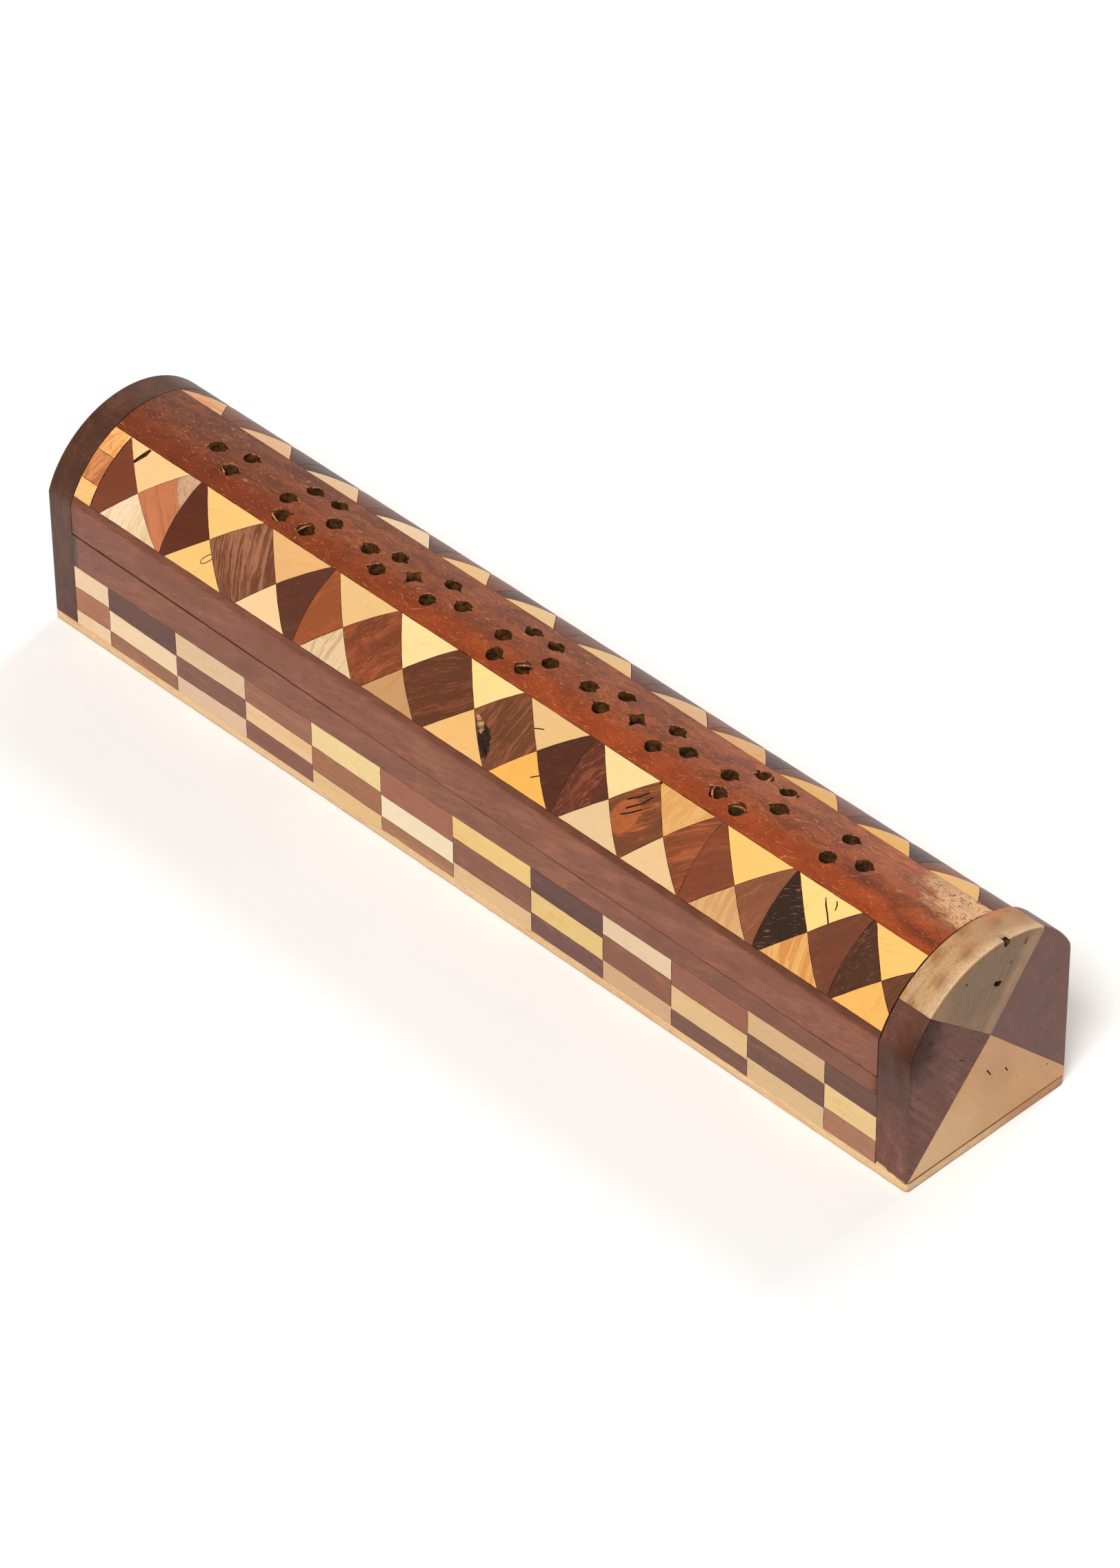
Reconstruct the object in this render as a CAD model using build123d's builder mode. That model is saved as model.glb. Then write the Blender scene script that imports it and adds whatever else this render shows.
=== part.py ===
from build123d import *
from math import asin, cos, degrees, hypot, radians, sin, sqrt
import os

# An incense box of dark and pale woods. X runs along the box, -Y is its front, +Z is up.
# The origin is on the table, under the middle of the box. All sizes are in millimetres.

# ---------------------------------------------------------------- driving dimensions
LENGTH = 305.0  # over both end blocks
WIDTH = 55.0  # over both walls
HEIGHT = 60.5  # table to crown
CROWN_RADIUS = 29.5  # arch of the lid and the end blocks
BASE_THICKNESS = 3.0
SEAM_HEIGHT = 31.2  # top of the walls
FAR_BLOCK = 9.0  # thickness of the end block at -X
NEAR_BLOCK = 10.3  # thickness of the quartered end block at +X
WALL = 8.0  # thickness of the walls and of the lid's rails
INLAY = 3.0  # thickness of every let-in piece
LID_CORE = 4.0  # wood left under the inlay at the crown
LID_END_GAP = 0.3  # lid to end block
SEAM_GAP = 0.2  # lid to wall
GLUE_LINE = 0.1  # between neighbouring inlay pieces
SOFT_EDGE = 0.8  # rounding of the end blocks' outer edges

STRIP_HALF_ARC = 11.3  # crown line to the edge of the top strip, along the arch
PANEL_LOWER_ARC = 32.6  # crown line to the lower edge of an inlay panel, along the arch

# Smoke vents in the top strip: a cluster's place along the box, then each hole from there
VENT_RADIUS = 2.15
VENTS = (
    (-110.0, ((-6.5, 0), (3, 3), (2.5, -4))),
    (-80.5, ((-8, -1.5), (-5.5, 5.5), (3, 6), (-5, -7), (4, -6.5), (8, -0.5))),
    (-43.0, ((-16, -1), (-8, 2), (-9, -5), (0, -1), (9, 4), (8.5, -4.5), (17, -0.5))),
    (-3.0, ((-8, -1), (-4, 5.5), (4, 5.5), (-5, -7), (4, -6), (8, -0.5))),
    (35.0, ((-17, 0), (-8, 4), (-9.5, -3.5), (0, -0.5), (10, 3.5), (9.5, -4.5), (17.5, -0.5))),
    (74.0, ((-8.5, 0.5), (-3, 7), (5.5, 6.5), (-6.5, -5.5), (1, -6.5), (8.5, 0))),
    (105.0, ((-3, 4.5), (-2.5, -4), (6, -0.5))),
)

# Cells of the lid's inlay panels from the far end. Each is its width, where its two saw cuts
# cross (from the cell's far edge, and above the panel's lower edge), and how far the cut to the
# upper far corner and the cut to the upper near corner run along for each millimetre they rise.
FILLER_WIDTH = 6.7  # three small pieces at the far end of the front panel
FILLER_JOINTS = (5.8, 14.0)  # heights of the joints between them
FRONT_CELLS = (
    (26.0, 12.4, 9.9, 1.18, 0.90),
    (25.2, 13.3, 10.1, 0.98, 1.01),
    (24.9, 12.7, 10.0, 0.92, 0.94),
    (23.2, 12.4, 10.1, 0.93, 0.96),
    (23.0, 11.0, 9.6, 0.92, 0.92),
    (22.7, 12.5, 11.1, 0.92, 0.97),
    (23.4, 11.8, 10.9, 0.96, 0.93),
    (22.8, 13.3, 10.7, 0.93, 0.95),
    (20.4, 9.4, 10.3, 0.97, 0.80),
    (24.8, 13.2, 10.0, 0.98, 0.95),
    (24.7, 12.2, 10.2, 0.97, 0.90),
    (17.9, 11.5, 10.2, 0.95, 0.97),
)
BACK_CELLS = (
    (19.3, 7.0, 10.9, 0.90, 0.86),
    (25.7, 13.4, 10.7, 0.94, 0.92),
    (25.1, 12.3, 10.6, 0.92, 0.88),
    (25.3, 13.2, 10.4, 0.92, 0.96),
    (21.8, 10.2, 10.8, 0.80, 0.84),
    (24.7, 12.0, 10.7, 0.84, 0.84),
    (26.2, 13.4, 10.5, 0.90, 0.92),
    (23.4, 12.9, 10.8, 0.94, 0.96),
    (21.4, 9.8, 10.6, 0.90, 0.90),
    (25.1, 12.0, 10.7, 0.96, 0.94),
    (23.5, 11.8, 10.9, 0.84, 0.86),
    (24.2, 11.5, 10.6, 0.86, 0.84),
)

# Columns of the walls' inlay bands: width, then the heights of the joints under and over the
# middle row. The top of the band climbs slightly from the far end to the near end.
BAND_TOP = (22.1, 24.9)
COLUMNS = (
    (13.2, 7.9, 15.4),
    (25.8, 7.9, 14.8),
    (26.2, 8.7, 15.2),
    (24.8, 9.0, 15.2),
    (25.3, 7.5, 15.2),
    (26.0, 7.5, 14.6),
    (27.7, 8.5, 16.6),
    (25.0, 9.1, 16.4),
    (23.5, 9.3, 17.7),
    (25.7, 8.5, 16.3),
    (25.5, 9.6, 17.3),
    (17.0, 10.2, 17.9),
)

# Quartered end block: where the joints cross, and where each leaves the block
QUARTER_CROSSING = (0.0, 33.3)
QUARTER_ENDS = ((-21.1, 51.6), (17.0, 55.1), (27.5, 5.5), (-27.5, 3.0))

# Hinges: small brass butts screwed to the back faces, with their pins behind the seam
HINGE_PLACES = (-75.0, 75.0)
HINGE_WIDTH = 18.0
LEAF_HEIGHT = 8.2
LEAF_THICKNESS = 0.9
BARREL_RADIUS = 1.5
PIN_RADIUS = 0.7
PIN_HEAD = (1.1, 0.5)  # radius, thickness
MIDDLE_KNUCKLE = 6.0
KNUCKLE_GAP = 0.1  # along the pin
PIN_RUNNING_GAP = 0.05  # around the pin, in the lid's knuckle
BARREL_TO_WALL = 0.1
LEAF_TO_BARREL = 0.15  # where a leaf is cut away beside the other leaf's knuckle
SCREW_LENGTH = 6.0
SCREW_RADIUS = 0.6
SCREW_HEAD = (1.3, 0.7)  # radius, depth of the countersunk head
SCREW_SLOT = (0.3, 0.3)  # width, depth
SCREW_SPREAD = 11.0
SCREW_FROM_PIN = 5.2

# Inside the box
HOLDER = (16.0, 14.0, 9.0)  # stick holder against the far end block
STICK_RADIUS = 1.25
STICK_SLOPE = 6.0  # degrees above level
STICK_DEPTH = 12.0
STICK_MOUTH_HEIGHT = 5.5  # above the floor
CONE_PLATE_X = 55.0
CONE_PLATE = (10.5, 12.5, 2.0, 0.8)  # floor radius, rim radius, rim height, metal thickness
CONE_PIN = (0.8, 1.8, 1.1, 2.2)  # shank radius, head radius, head height, depth in the floor

# Brads up through the base plate
BRAD = (0.6, 1.2, 0.7, 12.0)  # shank radius, head radius, head thickness, length
BRAD_SINK = 0.2
WALL_BRAD_Y = 22.0
WALL_BRAD_X = (-100.0, 0.0, 100.0)
FAR_BRAD_Y = 14.0
NEAR_BRAD_Y = 8.0
BASE_CORNER = 1.0  # rounding of the base plate's corners
BASE_EDGE = 0.5

# ---------------------------------------------------------------- worked out from them
HALF_LENGTH = LENGTH / 2
HALF_WIDTH = WIDTH / 2
ARCH_Z = HEIGHT - CROWN_RADIUS  # height of the arch's centre
WALLS_X = (-HALF_LENGTH + FAR_BLOCK, HALF_LENGTH - NEAR_BLOCK)
LID_X = (WALLS_X[0] + LID_END_GAP, WALLS_X[1] - LID_END_GAP)
LID_Z = SEAM_HEIGHT + SEAM_GAP
CORE_RADIUS = CROWN_RADIUS - INLAY
HOLLOW_RADIUS = CORE_RADIUS - LID_CORE
STRIP_ANGLE = degrees(STRIP_HALF_ARC / CROWN_RADIUS)
PANEL_ANGLE = degrees(PANEL_LOWER_ARC / CROWN_RADIUS)
PANEL_ARC = PANEL_LOWER_ARC - STRIP_HALF_ARC
PIN_Y = HALF_WIDTH + BARREL_TO_WALL + BARREL_RADIUS
PIN_Z = SEAM_HEIGHT + SEAM_GAP / 2
FLOOR_Z = BASE_THICKNESS
FRONT, BACK = -1, 1


def on_arch(radius, angle):
    """Point (y, z) of an arch about the box's long axis, angle in degrees from the crown."""
    return (radius * sin(radians(angle)), ARCH_Z + radius * cos(radians(angle)))


def arch_height(radius, y):
    return ARCH_Z + sqrt(radius**2 - y**2)


def keep_side(outline, point, normal, gap):
    """The part of a flat outline that lies at least gap beyond point, along normal."""
    size = hypot(*normal)

    def beyond(p):
        return ((p[0] - point[0]) * normal[0] + (p[1] - point[1]) * normal[1]) / size - gap

    kept = []
    for a, b in zip(outline, outline[1:] + outline[:1]):
        da, db = beyond(a), beyond(b)
        if da >= 0:
            kept.append(a)
        if (da >= 0) != (db >= 0):
            share = da / (da - db)
            kept.append((a[0] + share * (b[0] - a[0]), a[1] + share * (b[1] - a[1])))
    return kept


def quartered(left, right, bottom, top, crossing, far_run, near_run):
    """Outlines of the four pieces that two crossing cuts make of a cell."""
    half = GLUE_LINE / 2
    cell = [(left + half, bottom), (right - half, bottom), (right - half, top), (left + half, top)]
    over_far_cut = (1, far_run)
    over_near_cut = (-1, near_run)
    pieces = {}
    for name, far_side, near_side in (
        ("upper", 1, 1),
        ("lower", -1, -1),
        ("left", -1, 1),
        ("right", 1, -1),
    ):
        far_normal = tuple(far_side * n for n in over_far_cut)
        near_normal = tuple(near_side * n for n in over_near_cut)
        outline = keep_side(cell, crossing, far_normal, half)
        pieces[name] = keep_side(outline, crossing, near_normal, half)
    return pieces


def draw(outline):
    """Adds a closed straight-sided outline to the sketch being built."""
    with BuildLine() as loop:
        Polyline(*outline, close=True)
    make_face(loop.edges())


def save(piece, name):
    piece.part.label = name
    export_step(piece.part, f"parts/{name}.step")


os.makedirs("parts", exist_ok=True)

# ---------------------------------------------------------------- vents and fastener places
vent_places = [(x + dx, y) for x, holes in VENTS for dx, y in holes]
wall_brads = [(x, y) for x in WALL_BRAD_X for y in (-WALL_BRAD_Y, WALL_BRAD_Y)]
far_brads = [(-HALF_LENGTH + FAR_BLOCK / 2, y) for y in (-FAR_BRAD_Y, FAR_BRAD_Y)]
near_brads = [(HALF_LENGTH - NEAR_BLOCK / 2, y) for y in (-NEAR_BRAD_Y, NEAR_BRAD_Y)]
brad_places = wall_brads + far_brads + near_brads
screw_places = [x + dx for x in HINGE_PLACES for dx in (-SCREW_SPREAD / 2, SCREW_SPREAD / 2)]
back_face = Plane(origin=(0, HALF_WIDTH, 0), x_dir=(-1, 0, 0), z_dir=(0, 1, 0))
outside_of_leaf = back_face.offset(LEAF_THICKNESS)


def brad_holes():
    """Cuts the brads' shanks out of the piece being built."""
    with Locations(*[(x, y, BRAD_SINK) for x, y in brad_places]):
        Cylinder(
            BRAD[0],
            BRAD[3],
            align=(Align.CENTER, Align.CENTER, Align.MIN),
            mode=Mode.SUBTRACT,
        )


def screw_holes(height):
    """Drills the hinge screws' pilot holes into the back face of the piece being built."""
    with BuildSketch(outside_of_leaf) as pilots:
        with Locations(*[(-x, height) for x in screw_places]):
            Circle(SCREW_RADIUS)
    extrude(pilots.sketch, amount=-SCREW_LENGTH, mode=Mode.SUBTRACT)


# ---------------------------------------------------------------- base plate and its brads
with BuildPart() as base_plate:
    Box(LENGTH, WIDTH, BASE_THICKNESS, align=(Align.CENTER, Align.CENTER, Align.MIN))
    fillet(base_plate.edges().filter_by(Axis.Z), BASE_CORNER)
    fillet(base_plate.faces().sort_by(Axis.Z)[0].edges(), BASE_EDGE)
    brad_holes()
    with Locations(*[(x, y, 0) for x, y in brad_places]):
        Cylinder(
            BRAD[1],
            BRAD_SINK + BRAD[2],
            align=(Align.CENTER, Align.CENTER, Align.MIN),
            mode=Mode.SUBTRACT,
        )
    with Locations((CONE_PLATE_X, 0, FLOOR_Z)):
        Hole(CONE_PIN[0], CONE_PIN[3])
save(base_plate, "base_plate")

with BuildPart() as base_brads:
    with Locations(*[(x, y, BRAD_SINK) for x, y in brad_places]):
        Cylinder(BRAD[0], BRAD[3], align=(Align.CENTER, Align.CENTER, Align.MIN))
        Cylinder(BRAD[1], BRAD[2], align=(Align.CENTER, Align.CENTER, Align.MIN))
save(base_brads, "base_brads")

# ---------------------------------------------------------------- end blocks


def end_profile():
    """Upright sides and an arched top, drawn in the sketch being built."""
    shoulder = arch_height(CROWN_RADIUS, HALF_WIDTH)
    with BuildLine() as outline:
        Polyline(
            (-HALF_WIDTH, shoulder),
            (-HALF_WIDTH, FLOOR_Z),
            (HALF_WIDTH, FLOOR_Z),
            (HALF_WIDTH, shoulder),
        )
        ThreePointArc((HALF_WIDTH, shoulder), (0, HEIGHT), (-HALF_WIDTH, shoulder))
    make_face(outline.edges())


with BuildPart() as far_end_block:
    with BuildSketch(Plane.YZ.offset(-HALF_LENGTH)):
        end_profile()
    extrude(amount=FAR_BLOCK)
    outer_edges = far_end_block.edges().group_by(Axis.X)[0]
    fillet(outer_edges.filter_by(lambda e: e.center().Z > FLOOR_Z + SOFT_EDGE), SOFT_EDGE)
    brad_holes()
save(far_end_block, "far_end_block")

with BuildPart() as near_end_blank:
    with BuildSketch(Plane.YZ.offset(WALLS_X[1])):
        end_profile()
    extrude(amount=NEAR_BLOCK)
    outer_edges = near_end_blank.edges().group_by(Axis.X)[-1]
    fillet(outer_edges.filter_by(lambda e: e.center().Z > FLOOR_Z + SOFT_EDGE), SOFT_EDGE)
    brad_holes()

REACH = 1.4  # a wedge's outline runs this many times past the block's edge before it is cut
for number, name in enumerate(("top", "back", "bottom", "front")):
    joint_a = QUARTER_ENDS[number]
    joint_b = QUARTER_ENDS[(number + 1) % 4]
    corners = [
        tuple(c + REACH * (e - c) for c, e in zip(QUARTER_CROSSING, joint))
        for joint in (joint_a, joint_b)
    ]
    middle = tuple((a + b) / 2 for a, b in zip(*corners))
    bulge = tuple(c + REACH * (m - c) for c, m in zip(QUARTER_CROSSING, middle))
    with BuildPart() as wedge:
        with BuildSketch(Plane.YZ.offset(WALLS_X[1])):
            draw([QUARTER_CROSSING, corners[0], bulge, corners[1]])
        extrude(amount=NEAR_BLOCK)
        add(near_end_blank.part, mode=Mode.INTERSECT)
    save(wedge, f"near_end_{name}_wedge")

# ---------------------------------------------------------------- walls and their inlay bands


def wall_face(side):
    """Plane of a wall's outer face, seen with X to the right and Z up."""
    return Plane(origin=(0, side * HALF_WIDTH, 0), x_dir=(1, 0, 0), z_dir=(0, -1, 0))


def band_top(x):
    share = (x - WALLS_X[0]) / (WALLS_X[1] - WALLS_X[0])
    return BAND_TOP[0] + share * (BAND_TOP[1] - BAND_TOP[0])


def make_wall(side):
    with BuildPart() as wall:
        with BuildSketch(wall_face(side)):
            draw(
                [
                    (WALLS_X[0], FLOOR_Z),
                    (WALLS_X[1], FLOOR_Z),
                    (WALLS_X[1], SEAM_HEIGHT),
                    (WALLS_X[0], SEAM_HEIGHT),
                ]
            )
        extrude(amount=side * WALL)
        with BuildSketch(wall_face(side)):
            draw(
                [
                    (WALLS_X[0], FLOOR_Z),
                    (WALLS_X[1], FLOOR_Z),
                    (WALLS_X[1], band_top(WALLS_X[1])),
                    (WALLS_X[0], band_top(WALLS_X[0])),
                ]
            )
        extrude(amount=side * INLAY, mode=Mode.SUBTRACT)
        brad_holes()
        if side == BACK:
            screw_holes(PIN_Z - SCREW_FROM_PIN)
    return wall


def band_blocks(row, parity):
    """Outlines of one row's blocks in every other column."""
    half = GLUE_LINE / 2
    left = WALLS_X[0]
    outlines = []
    for number, (width, lower_joint, upper_joint) in enumerate(COLUMNS):
        right = left + width
        if number % 2 == parity:
            a, b = left + half, right - half
            levels = {
                "bottom": (FLOOR_Z, FLOOR_Z, lower_joint - half, lower_joint - half),
                "middle": (lower_joint + half,) * 2 + (upper_joint - half,) * 2,
                "top": (upper_joint + half,) * 2 + (band_top(b), band_top(a)),
            }[row]
            outlines.append([(a, levels[0]), (b, levels[1]), (b, levels[2]), (a, levels[3])])
        left = right
    return outlines


def make_band(side, row, parity):
    with BuildPart() as band:
        with BuildSketch(wall_face(side)):
            for outline in band_blocks(row, parity):
                draw(outline)
        extrude(amount=side * INLAY)
    return band


ODD, EVEN = 0, 1  # odd columns start and end with pale wood, even columns with dark
for side, side_name in ((FRONT, "front"), (BACK, "back")):
    save(make_wall(side), f"{side_name}_wall")
    for row, pale_parity in (("top", ODD), ("middle", EVEN), ("bottom", ODD)):
        save(make_band(side, row, pale_parity), f"{side_name}_band_{row}_pale")
        save(make_band(side, row, 1 - pale_parity), f"{side_name}_band_{row}_dark")

# ---------------------------------------------------------------- lid


def vent_holes():
    """Drills every smoke vent down through the piece being built."""
    with Locations(*[(x, y, HEIGHT) for x, y in vent_places]):
        Cylinder(
            VENT_RADIUS,
            HEIGHT - LID_Z,
            align=(Align.CENTER, Align.CENTER, Align.MAX),
            mode=Mode.SUBTRACT,
        )


with BuildPart() as lid_core:
    shoulder = arch_height(CROWN_RADIUS, HALF_WIDTH)
    hollow_y = HALF_WIDTH - WALL
    hollow_z = arch_height(HOLLOW_RADIUS, hollow_y)
    rail_angle = (PANEL_ANGLE + degrees(asin(HALF_WIDTH / CROWN_RADIUS))) / 2
    with BuildSketch(Plane.YZ.offset(LID_X[0])):
        with BuildLine():
            Polyline((-HALF_WIDTH, shoulder), (-HALF_WIDTH, LID_Z), (-hollow_y, LID_Z), (-hollow_y, hollow_z))
            ThreePointArc((-hollow_y, hollow_z), on_arch(HOLLOW_RADIUS, 0), (hollow_y, hollow_z))
            Polyline((hollow_y, hollow_z), (hollow_y, LID_Z), (HALF_WIDTH, LID_Z), (HALF_WIDTH, shoulder))
            ThreePointArc(
                (HALF_WIDTH, shoulder),
                on_arch(CROWN_RADIUS, rail_angle),
                on_arch(CROWN_RADIUS, PANEL_ANGLE),
            )
            Line(on_arch(CROWN_RADIUS, PANEL_ANGLE), on_arch(CORE_RADIUS, PANEL_ANGLE))
            ThreePointArc(
                on_arch(CORE_RADIUS, PANEL_ANGLE),
                on_arch(CORE_RADIUS, 0),
                on_arch(CORE_RADIUS, -PANEL_ANGLE),
            )
            Line(on_arch(CORE_RADIUS, -PANEL_ANGLE), on_arch(CROWN_RADIUS, -PANEL_ANGLE))
            ThreePointArc(
                on_arch(CROWN_RADIUS, -PANEL_ANGLE),
                on_arch(CROWN_RADIUS, -rail_angle),
                (-HALF_WIDTH, shoulder),
            )
        make_face()
    extrude(amount=LID_X[1] - LID_X[0])
    vent_holes()
    screw_holes(PIN_Z + SCREW_FROM_PIN)
save(lid_core, "lid_core")


def arch_band(from_angle, to_angle):
    """A strip of the lid's outer layer, INLAY thick, over the whole length of the lid."""
    middle = (from_angle + to_angle) / 2
    with BuildPart() as strip:
        with BuildSketch(Plane.YZ.offset(LID_X[0])):
            with BuildLine():
                ThreePointArc(*[on_arch(CROWN_RADIUS, a) for a in (from_angle, middle, to_angle)])
                Line(on_arch(CROWN_RADIUS, to_angle), on_arch(CORE_RADIUS, to_angle))
                ThreePointArc(*[on_arch(CORE_RADIUS, a) for a in (to_angle, middle, from_angle)])
                Line(on_arch(CORE_RADIUS, from_angle), on_arch(CROWN_RADIUS, from_angle))
            make_face()
        extrude(amount=LID_X[1] - LID_X[0])
    return strip


with BuildPart() as lid_top_strip:
    add(arch_band(-STRIP_ANGLE, STRIP_ANGLE).part)
    vent_holes()
save(lid_top_strip, "lid_top_strip")


def panel_plane(side):
    """Plane across the middle of a panel, with X along the box and Y up towards the crown.
    On the back it is seen from inside the lid, so that X still runs towards the near end."""
    middle = side * (STRIP_ANGLE + PANEL_ANGLE) / 2
    y, z = on_arch(CROWN_RADIUS, middle)
    outward = (0, sin(radians(middle)), cos(radians(middle)))
    return Plane(origin=(0, y, z), x_dir=(1, 0, 0), z_dir=[-side * n for n in outward])


def make_panel_pieces(side, outlines):
    """Cuts flat outlines, square to the panel, out of its arched layer."""
    glue_angle = degrees(GLUE_LINE / CROWN_RADIUS)
    low, high = sorted((side * (STRIP_ANGLE + glue_angle), side * (PANEL_ANGLE - glue_angle)))
    with BuildPart() as pieces:
        with BuildSketch(panel_plane(side)):
            for outline in outlines:
                draw(outline)
        extrude(amount=CROWN_RADIUS / 2, both=True)
        add(arch_band(low, high).part, mode=Mode.INTERSECT)
    return pieces


PANEL_REACH = PANEL_ARC * 0.6  # outlines run a little past both edges of the panel
for side, side_name, cells, start in (
    (FRONT, "front", FRONT_CELLS, LID_X[0] + FILLER_WIDTH),
    (BACK, "back", BACK_CELLS, LID_X[0]),
):
    quarters = {"upper": [], "lower": [], "left": [], "right": []}
    left = start
    for width, along, up, far_run, near_run in cells:
        right = min(left + width, LID_X[1])
        crossing = (left + along, up - PANEL_ARC / 2)
        cut = quartered(left, right, -PANEL_REACH, PANEL_REACH, crossing, far_run, near_run)
        for quarter, outline in cut.items():
            quarters[quarter].append(outline)
        left = right
    for quarter, outlines in quarters.items():
        wood = "pale" if quarter in ("upper", "lower") else "dark"
        save(make_panel_pieces(side, outlines), f"lid_{side_name}_{quarter}_{wood}")

filler_levels = (0, *FILLER_JOINTS, PANEL_ARC)
for number, name in enumerate(("lower", "middle", "upper")):
    low = filler_levels[number] - PANEL_ARC / 2 + GLUE_LINE / 2
    high = filler_levels[number + 1] - PANEL_ARC / 2 - GLUE_LINE / 2
    if name == "lower":
        low = -PANEL_REACH
    if name == "upper":
        high = PANEL_REACH
    end = LID_X[0] + FILLER_WIDTH - GLUE_LINE / 2
    filler = make_panel_pieces(
        FRONT, [[(LID_X[0], low), (end, low), (end, high), (LID_X[0], high)]]
    )
    save(filler, f"lid_filler_{name}")

# ---------------------------------------------------------------- hinges

LEAF_EDGE = BARREL_RADIUS + LEAF_TO_BARREL
side_knuckle = (HINGE_WIDTH - MIDDLE_KNUCKLE) / 2 - KNUCKLE_GAP
SIDE_KNUCKLES = (
    (-HINGE_WIDTH / 2, side_knuckle),
    (HINGE_WIDTH / 2 - side_knuckle, side_knuckle),
)


def make_leaf(x, upward, knuckles, bore):
    """A hinge leaf about x. Its plate lies on the back face, above or below the pin, and rolls
    round the pin at each knuckle, given as (start, length) along X."""
    with BuildPart() as leaf:
        with BuildSketch(back_face):
            with Locations((-x, PIN_Z + upward * (LEAF_HEIGHT + LEAF_EDGE) / 2)):
                Rectangle(HINGE_WIDTH, LEAF_HEIGHT - LEAF_EDGE)
        extrude(amount=LEAF_THICKNESS)
        corners = leaf.edges().filter_by(Axis.Y).sort_by(Axis.Z)
        fillet(corners[-2:] if upward > 0 else corners[:2], 1.0)
        for start, length in knuckles:
            with BuildSketch(Plane.YZ.offset(x + start)):
                with Locations((HALF_WIDTH + LEAF_THICKNESS / 2, PIN_Z + upward * LEAF_EDGE / 2)):
                    Rectangle(LEAF_THICKNESS, LEAF_EDGE)
                with Locations((PIN_Y, PIN_Z)):
                    Circle(BARREL_RADIUS)
            extrude(amount=length)
        for start, length in knuckles:
            with BuildSketch(Plane.YZ.offset(x + start)):
                with Locations((PIN_Y, PIN_Z)):
                    Circle(bore)
            extrude(amount=length, mode=Mode.SUBTRACT)
        with BuildSketch(outside_of_leaf):
            with Locations(
                *[
                    (-x + dx, PIN_Z + upward * SCREW_FROM_PIN)
                    for dx in (-SCREW_SPREAD / 2, SCREW_SPREAD / 2)
                ]
            ):
                Circle(SCREW_RADIUS)
        extrude(amount=-LEAF_THICKNESS, mode=Mode.SUBTRACT)
        with BuildSketch(outside_of_leaf):
            with Locations(
                *[
                    (-x + dx, PIN_Z + upward * SCREW_FROM_PIN)
                    for dx in (-SCREW_SPREAD / 2, SCREW_SPREAD / 2)
                ]
            ):
                Circle(SCREW_HEAD[0])
        extrude(amount=-SCREW_HEAD[1], taper=45, mode=Mode.SUBTRACT)
    return leaf


def make_screws(height):
    """The countersunk screws of both hinges' leaves at one height."""
    with BuildPart() as screws:
        with BuildSketch(outside_of_leaf):
            with Locations(*[(-x, height) for x in screw_places]):
                Circle(SCREW_HEAD[0])
        extrude(amount=-SCREW_HEAD[1], taper=45)
        with BuildSketch(outside_of_leaf):
            with Locations(*[(-x, height) for x in screw_places]):
                Circle(SCREW_RADIUS)
        extrude(amount=-SCREW_LENGTH)
        with BuildSketch(outside_of_leaf):
            with Locations(*[(-x, height) for x in screw_places]):
                Rectangle(2 * SCREW_HEAD[0], SCREW_SLOT[0], rotation=30)
        extrude(amount=-SCREW_SLOT[1], mode=Mode.SUBTRACT)
    return screws


for x, hinge_name in zip(HINGE_PLACES, ("far", "near")):
    save(make_leaf(x, -1, SIDE_KNUCKLES, PIN_RADIUS), f"{hinge_name}_hinge_body_leaf")
    middle = ((-MIDDLE_KNUCKLE / 2, MIDDLE_KNUCKLE),)
    save(make_leaf(x, 1, middle, PIN_RADIUS + PIN_RUNNING_GAP), f"{hinge_name}_hinge_lid_leaf")
    with BuildPart() as pin:
        with BuildSketch(Plane.YZ.offset(x - HINGE_WIDTH / 2)):
            with Locations((PIN_Y, PIN_Z)):
                Circle(PIN_RADIUS)
        extrude(amount=HINGE_WIDTH)
        for start, direction in ((x - HINGE_WIDTH / 2, -1), (x + HINGE_WIDTH / 2, 1)):
            with BuildSketch(Plane.YZ.offset(start)):
                with Locations((PIN_Y, PIN_Z)):
                    Circle(PIN_HEAD[0])
            extrude(amount=direction * PIN_HEAD[1])
    save(pin, f"{hinge_name}_hinge_pin")

save(make_screws(PIN_Z - SCREW_FROM_PIN), "body_hinge_screws")
save(make_screws(PIN_Z + SCREW_FROM_PIN), "lid_hinge_screws")

# ---------------------------------------------------------------- inside the box

stick_mouth = (WALLS_X[0] + HOLDER[0], 0, FLOOR_Z + STICK_MOUTH_HEIGHT)
stick_axis = (cos(radians(STICK_SLOPE)), 0, sin(radians(STICK_SLOPE)))
with BuildPart() as stick_holder:
    with Locations((WALLS_X[0], 0, FLOOR_Z)):
        Box(*HOLDER, align=(Align.MIN, Align.CENTER, Align.MIN))
    chamfer(stick_holder.faces().sort_by(Axis.Z)[-1].edges(), SOFT_EDGE)
    with BuildSketch(Plane(origin=stick_mouth, z_dir=stick_axis)):
        Circle(STICK_RADIUS)
    extrude(amount=-STICK_DEPTH, mode=Mode.SUBTRACT)
    with BuildSketch(Plane(origin=stick_mouth, z_dir=stick_axis)):
        Circle(STICK_RADIUS)
    extrude(amount=STICK_RADIUS, mode=Mode.SUBTRACT)
save(stick_holder, "stick_holder")

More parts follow.
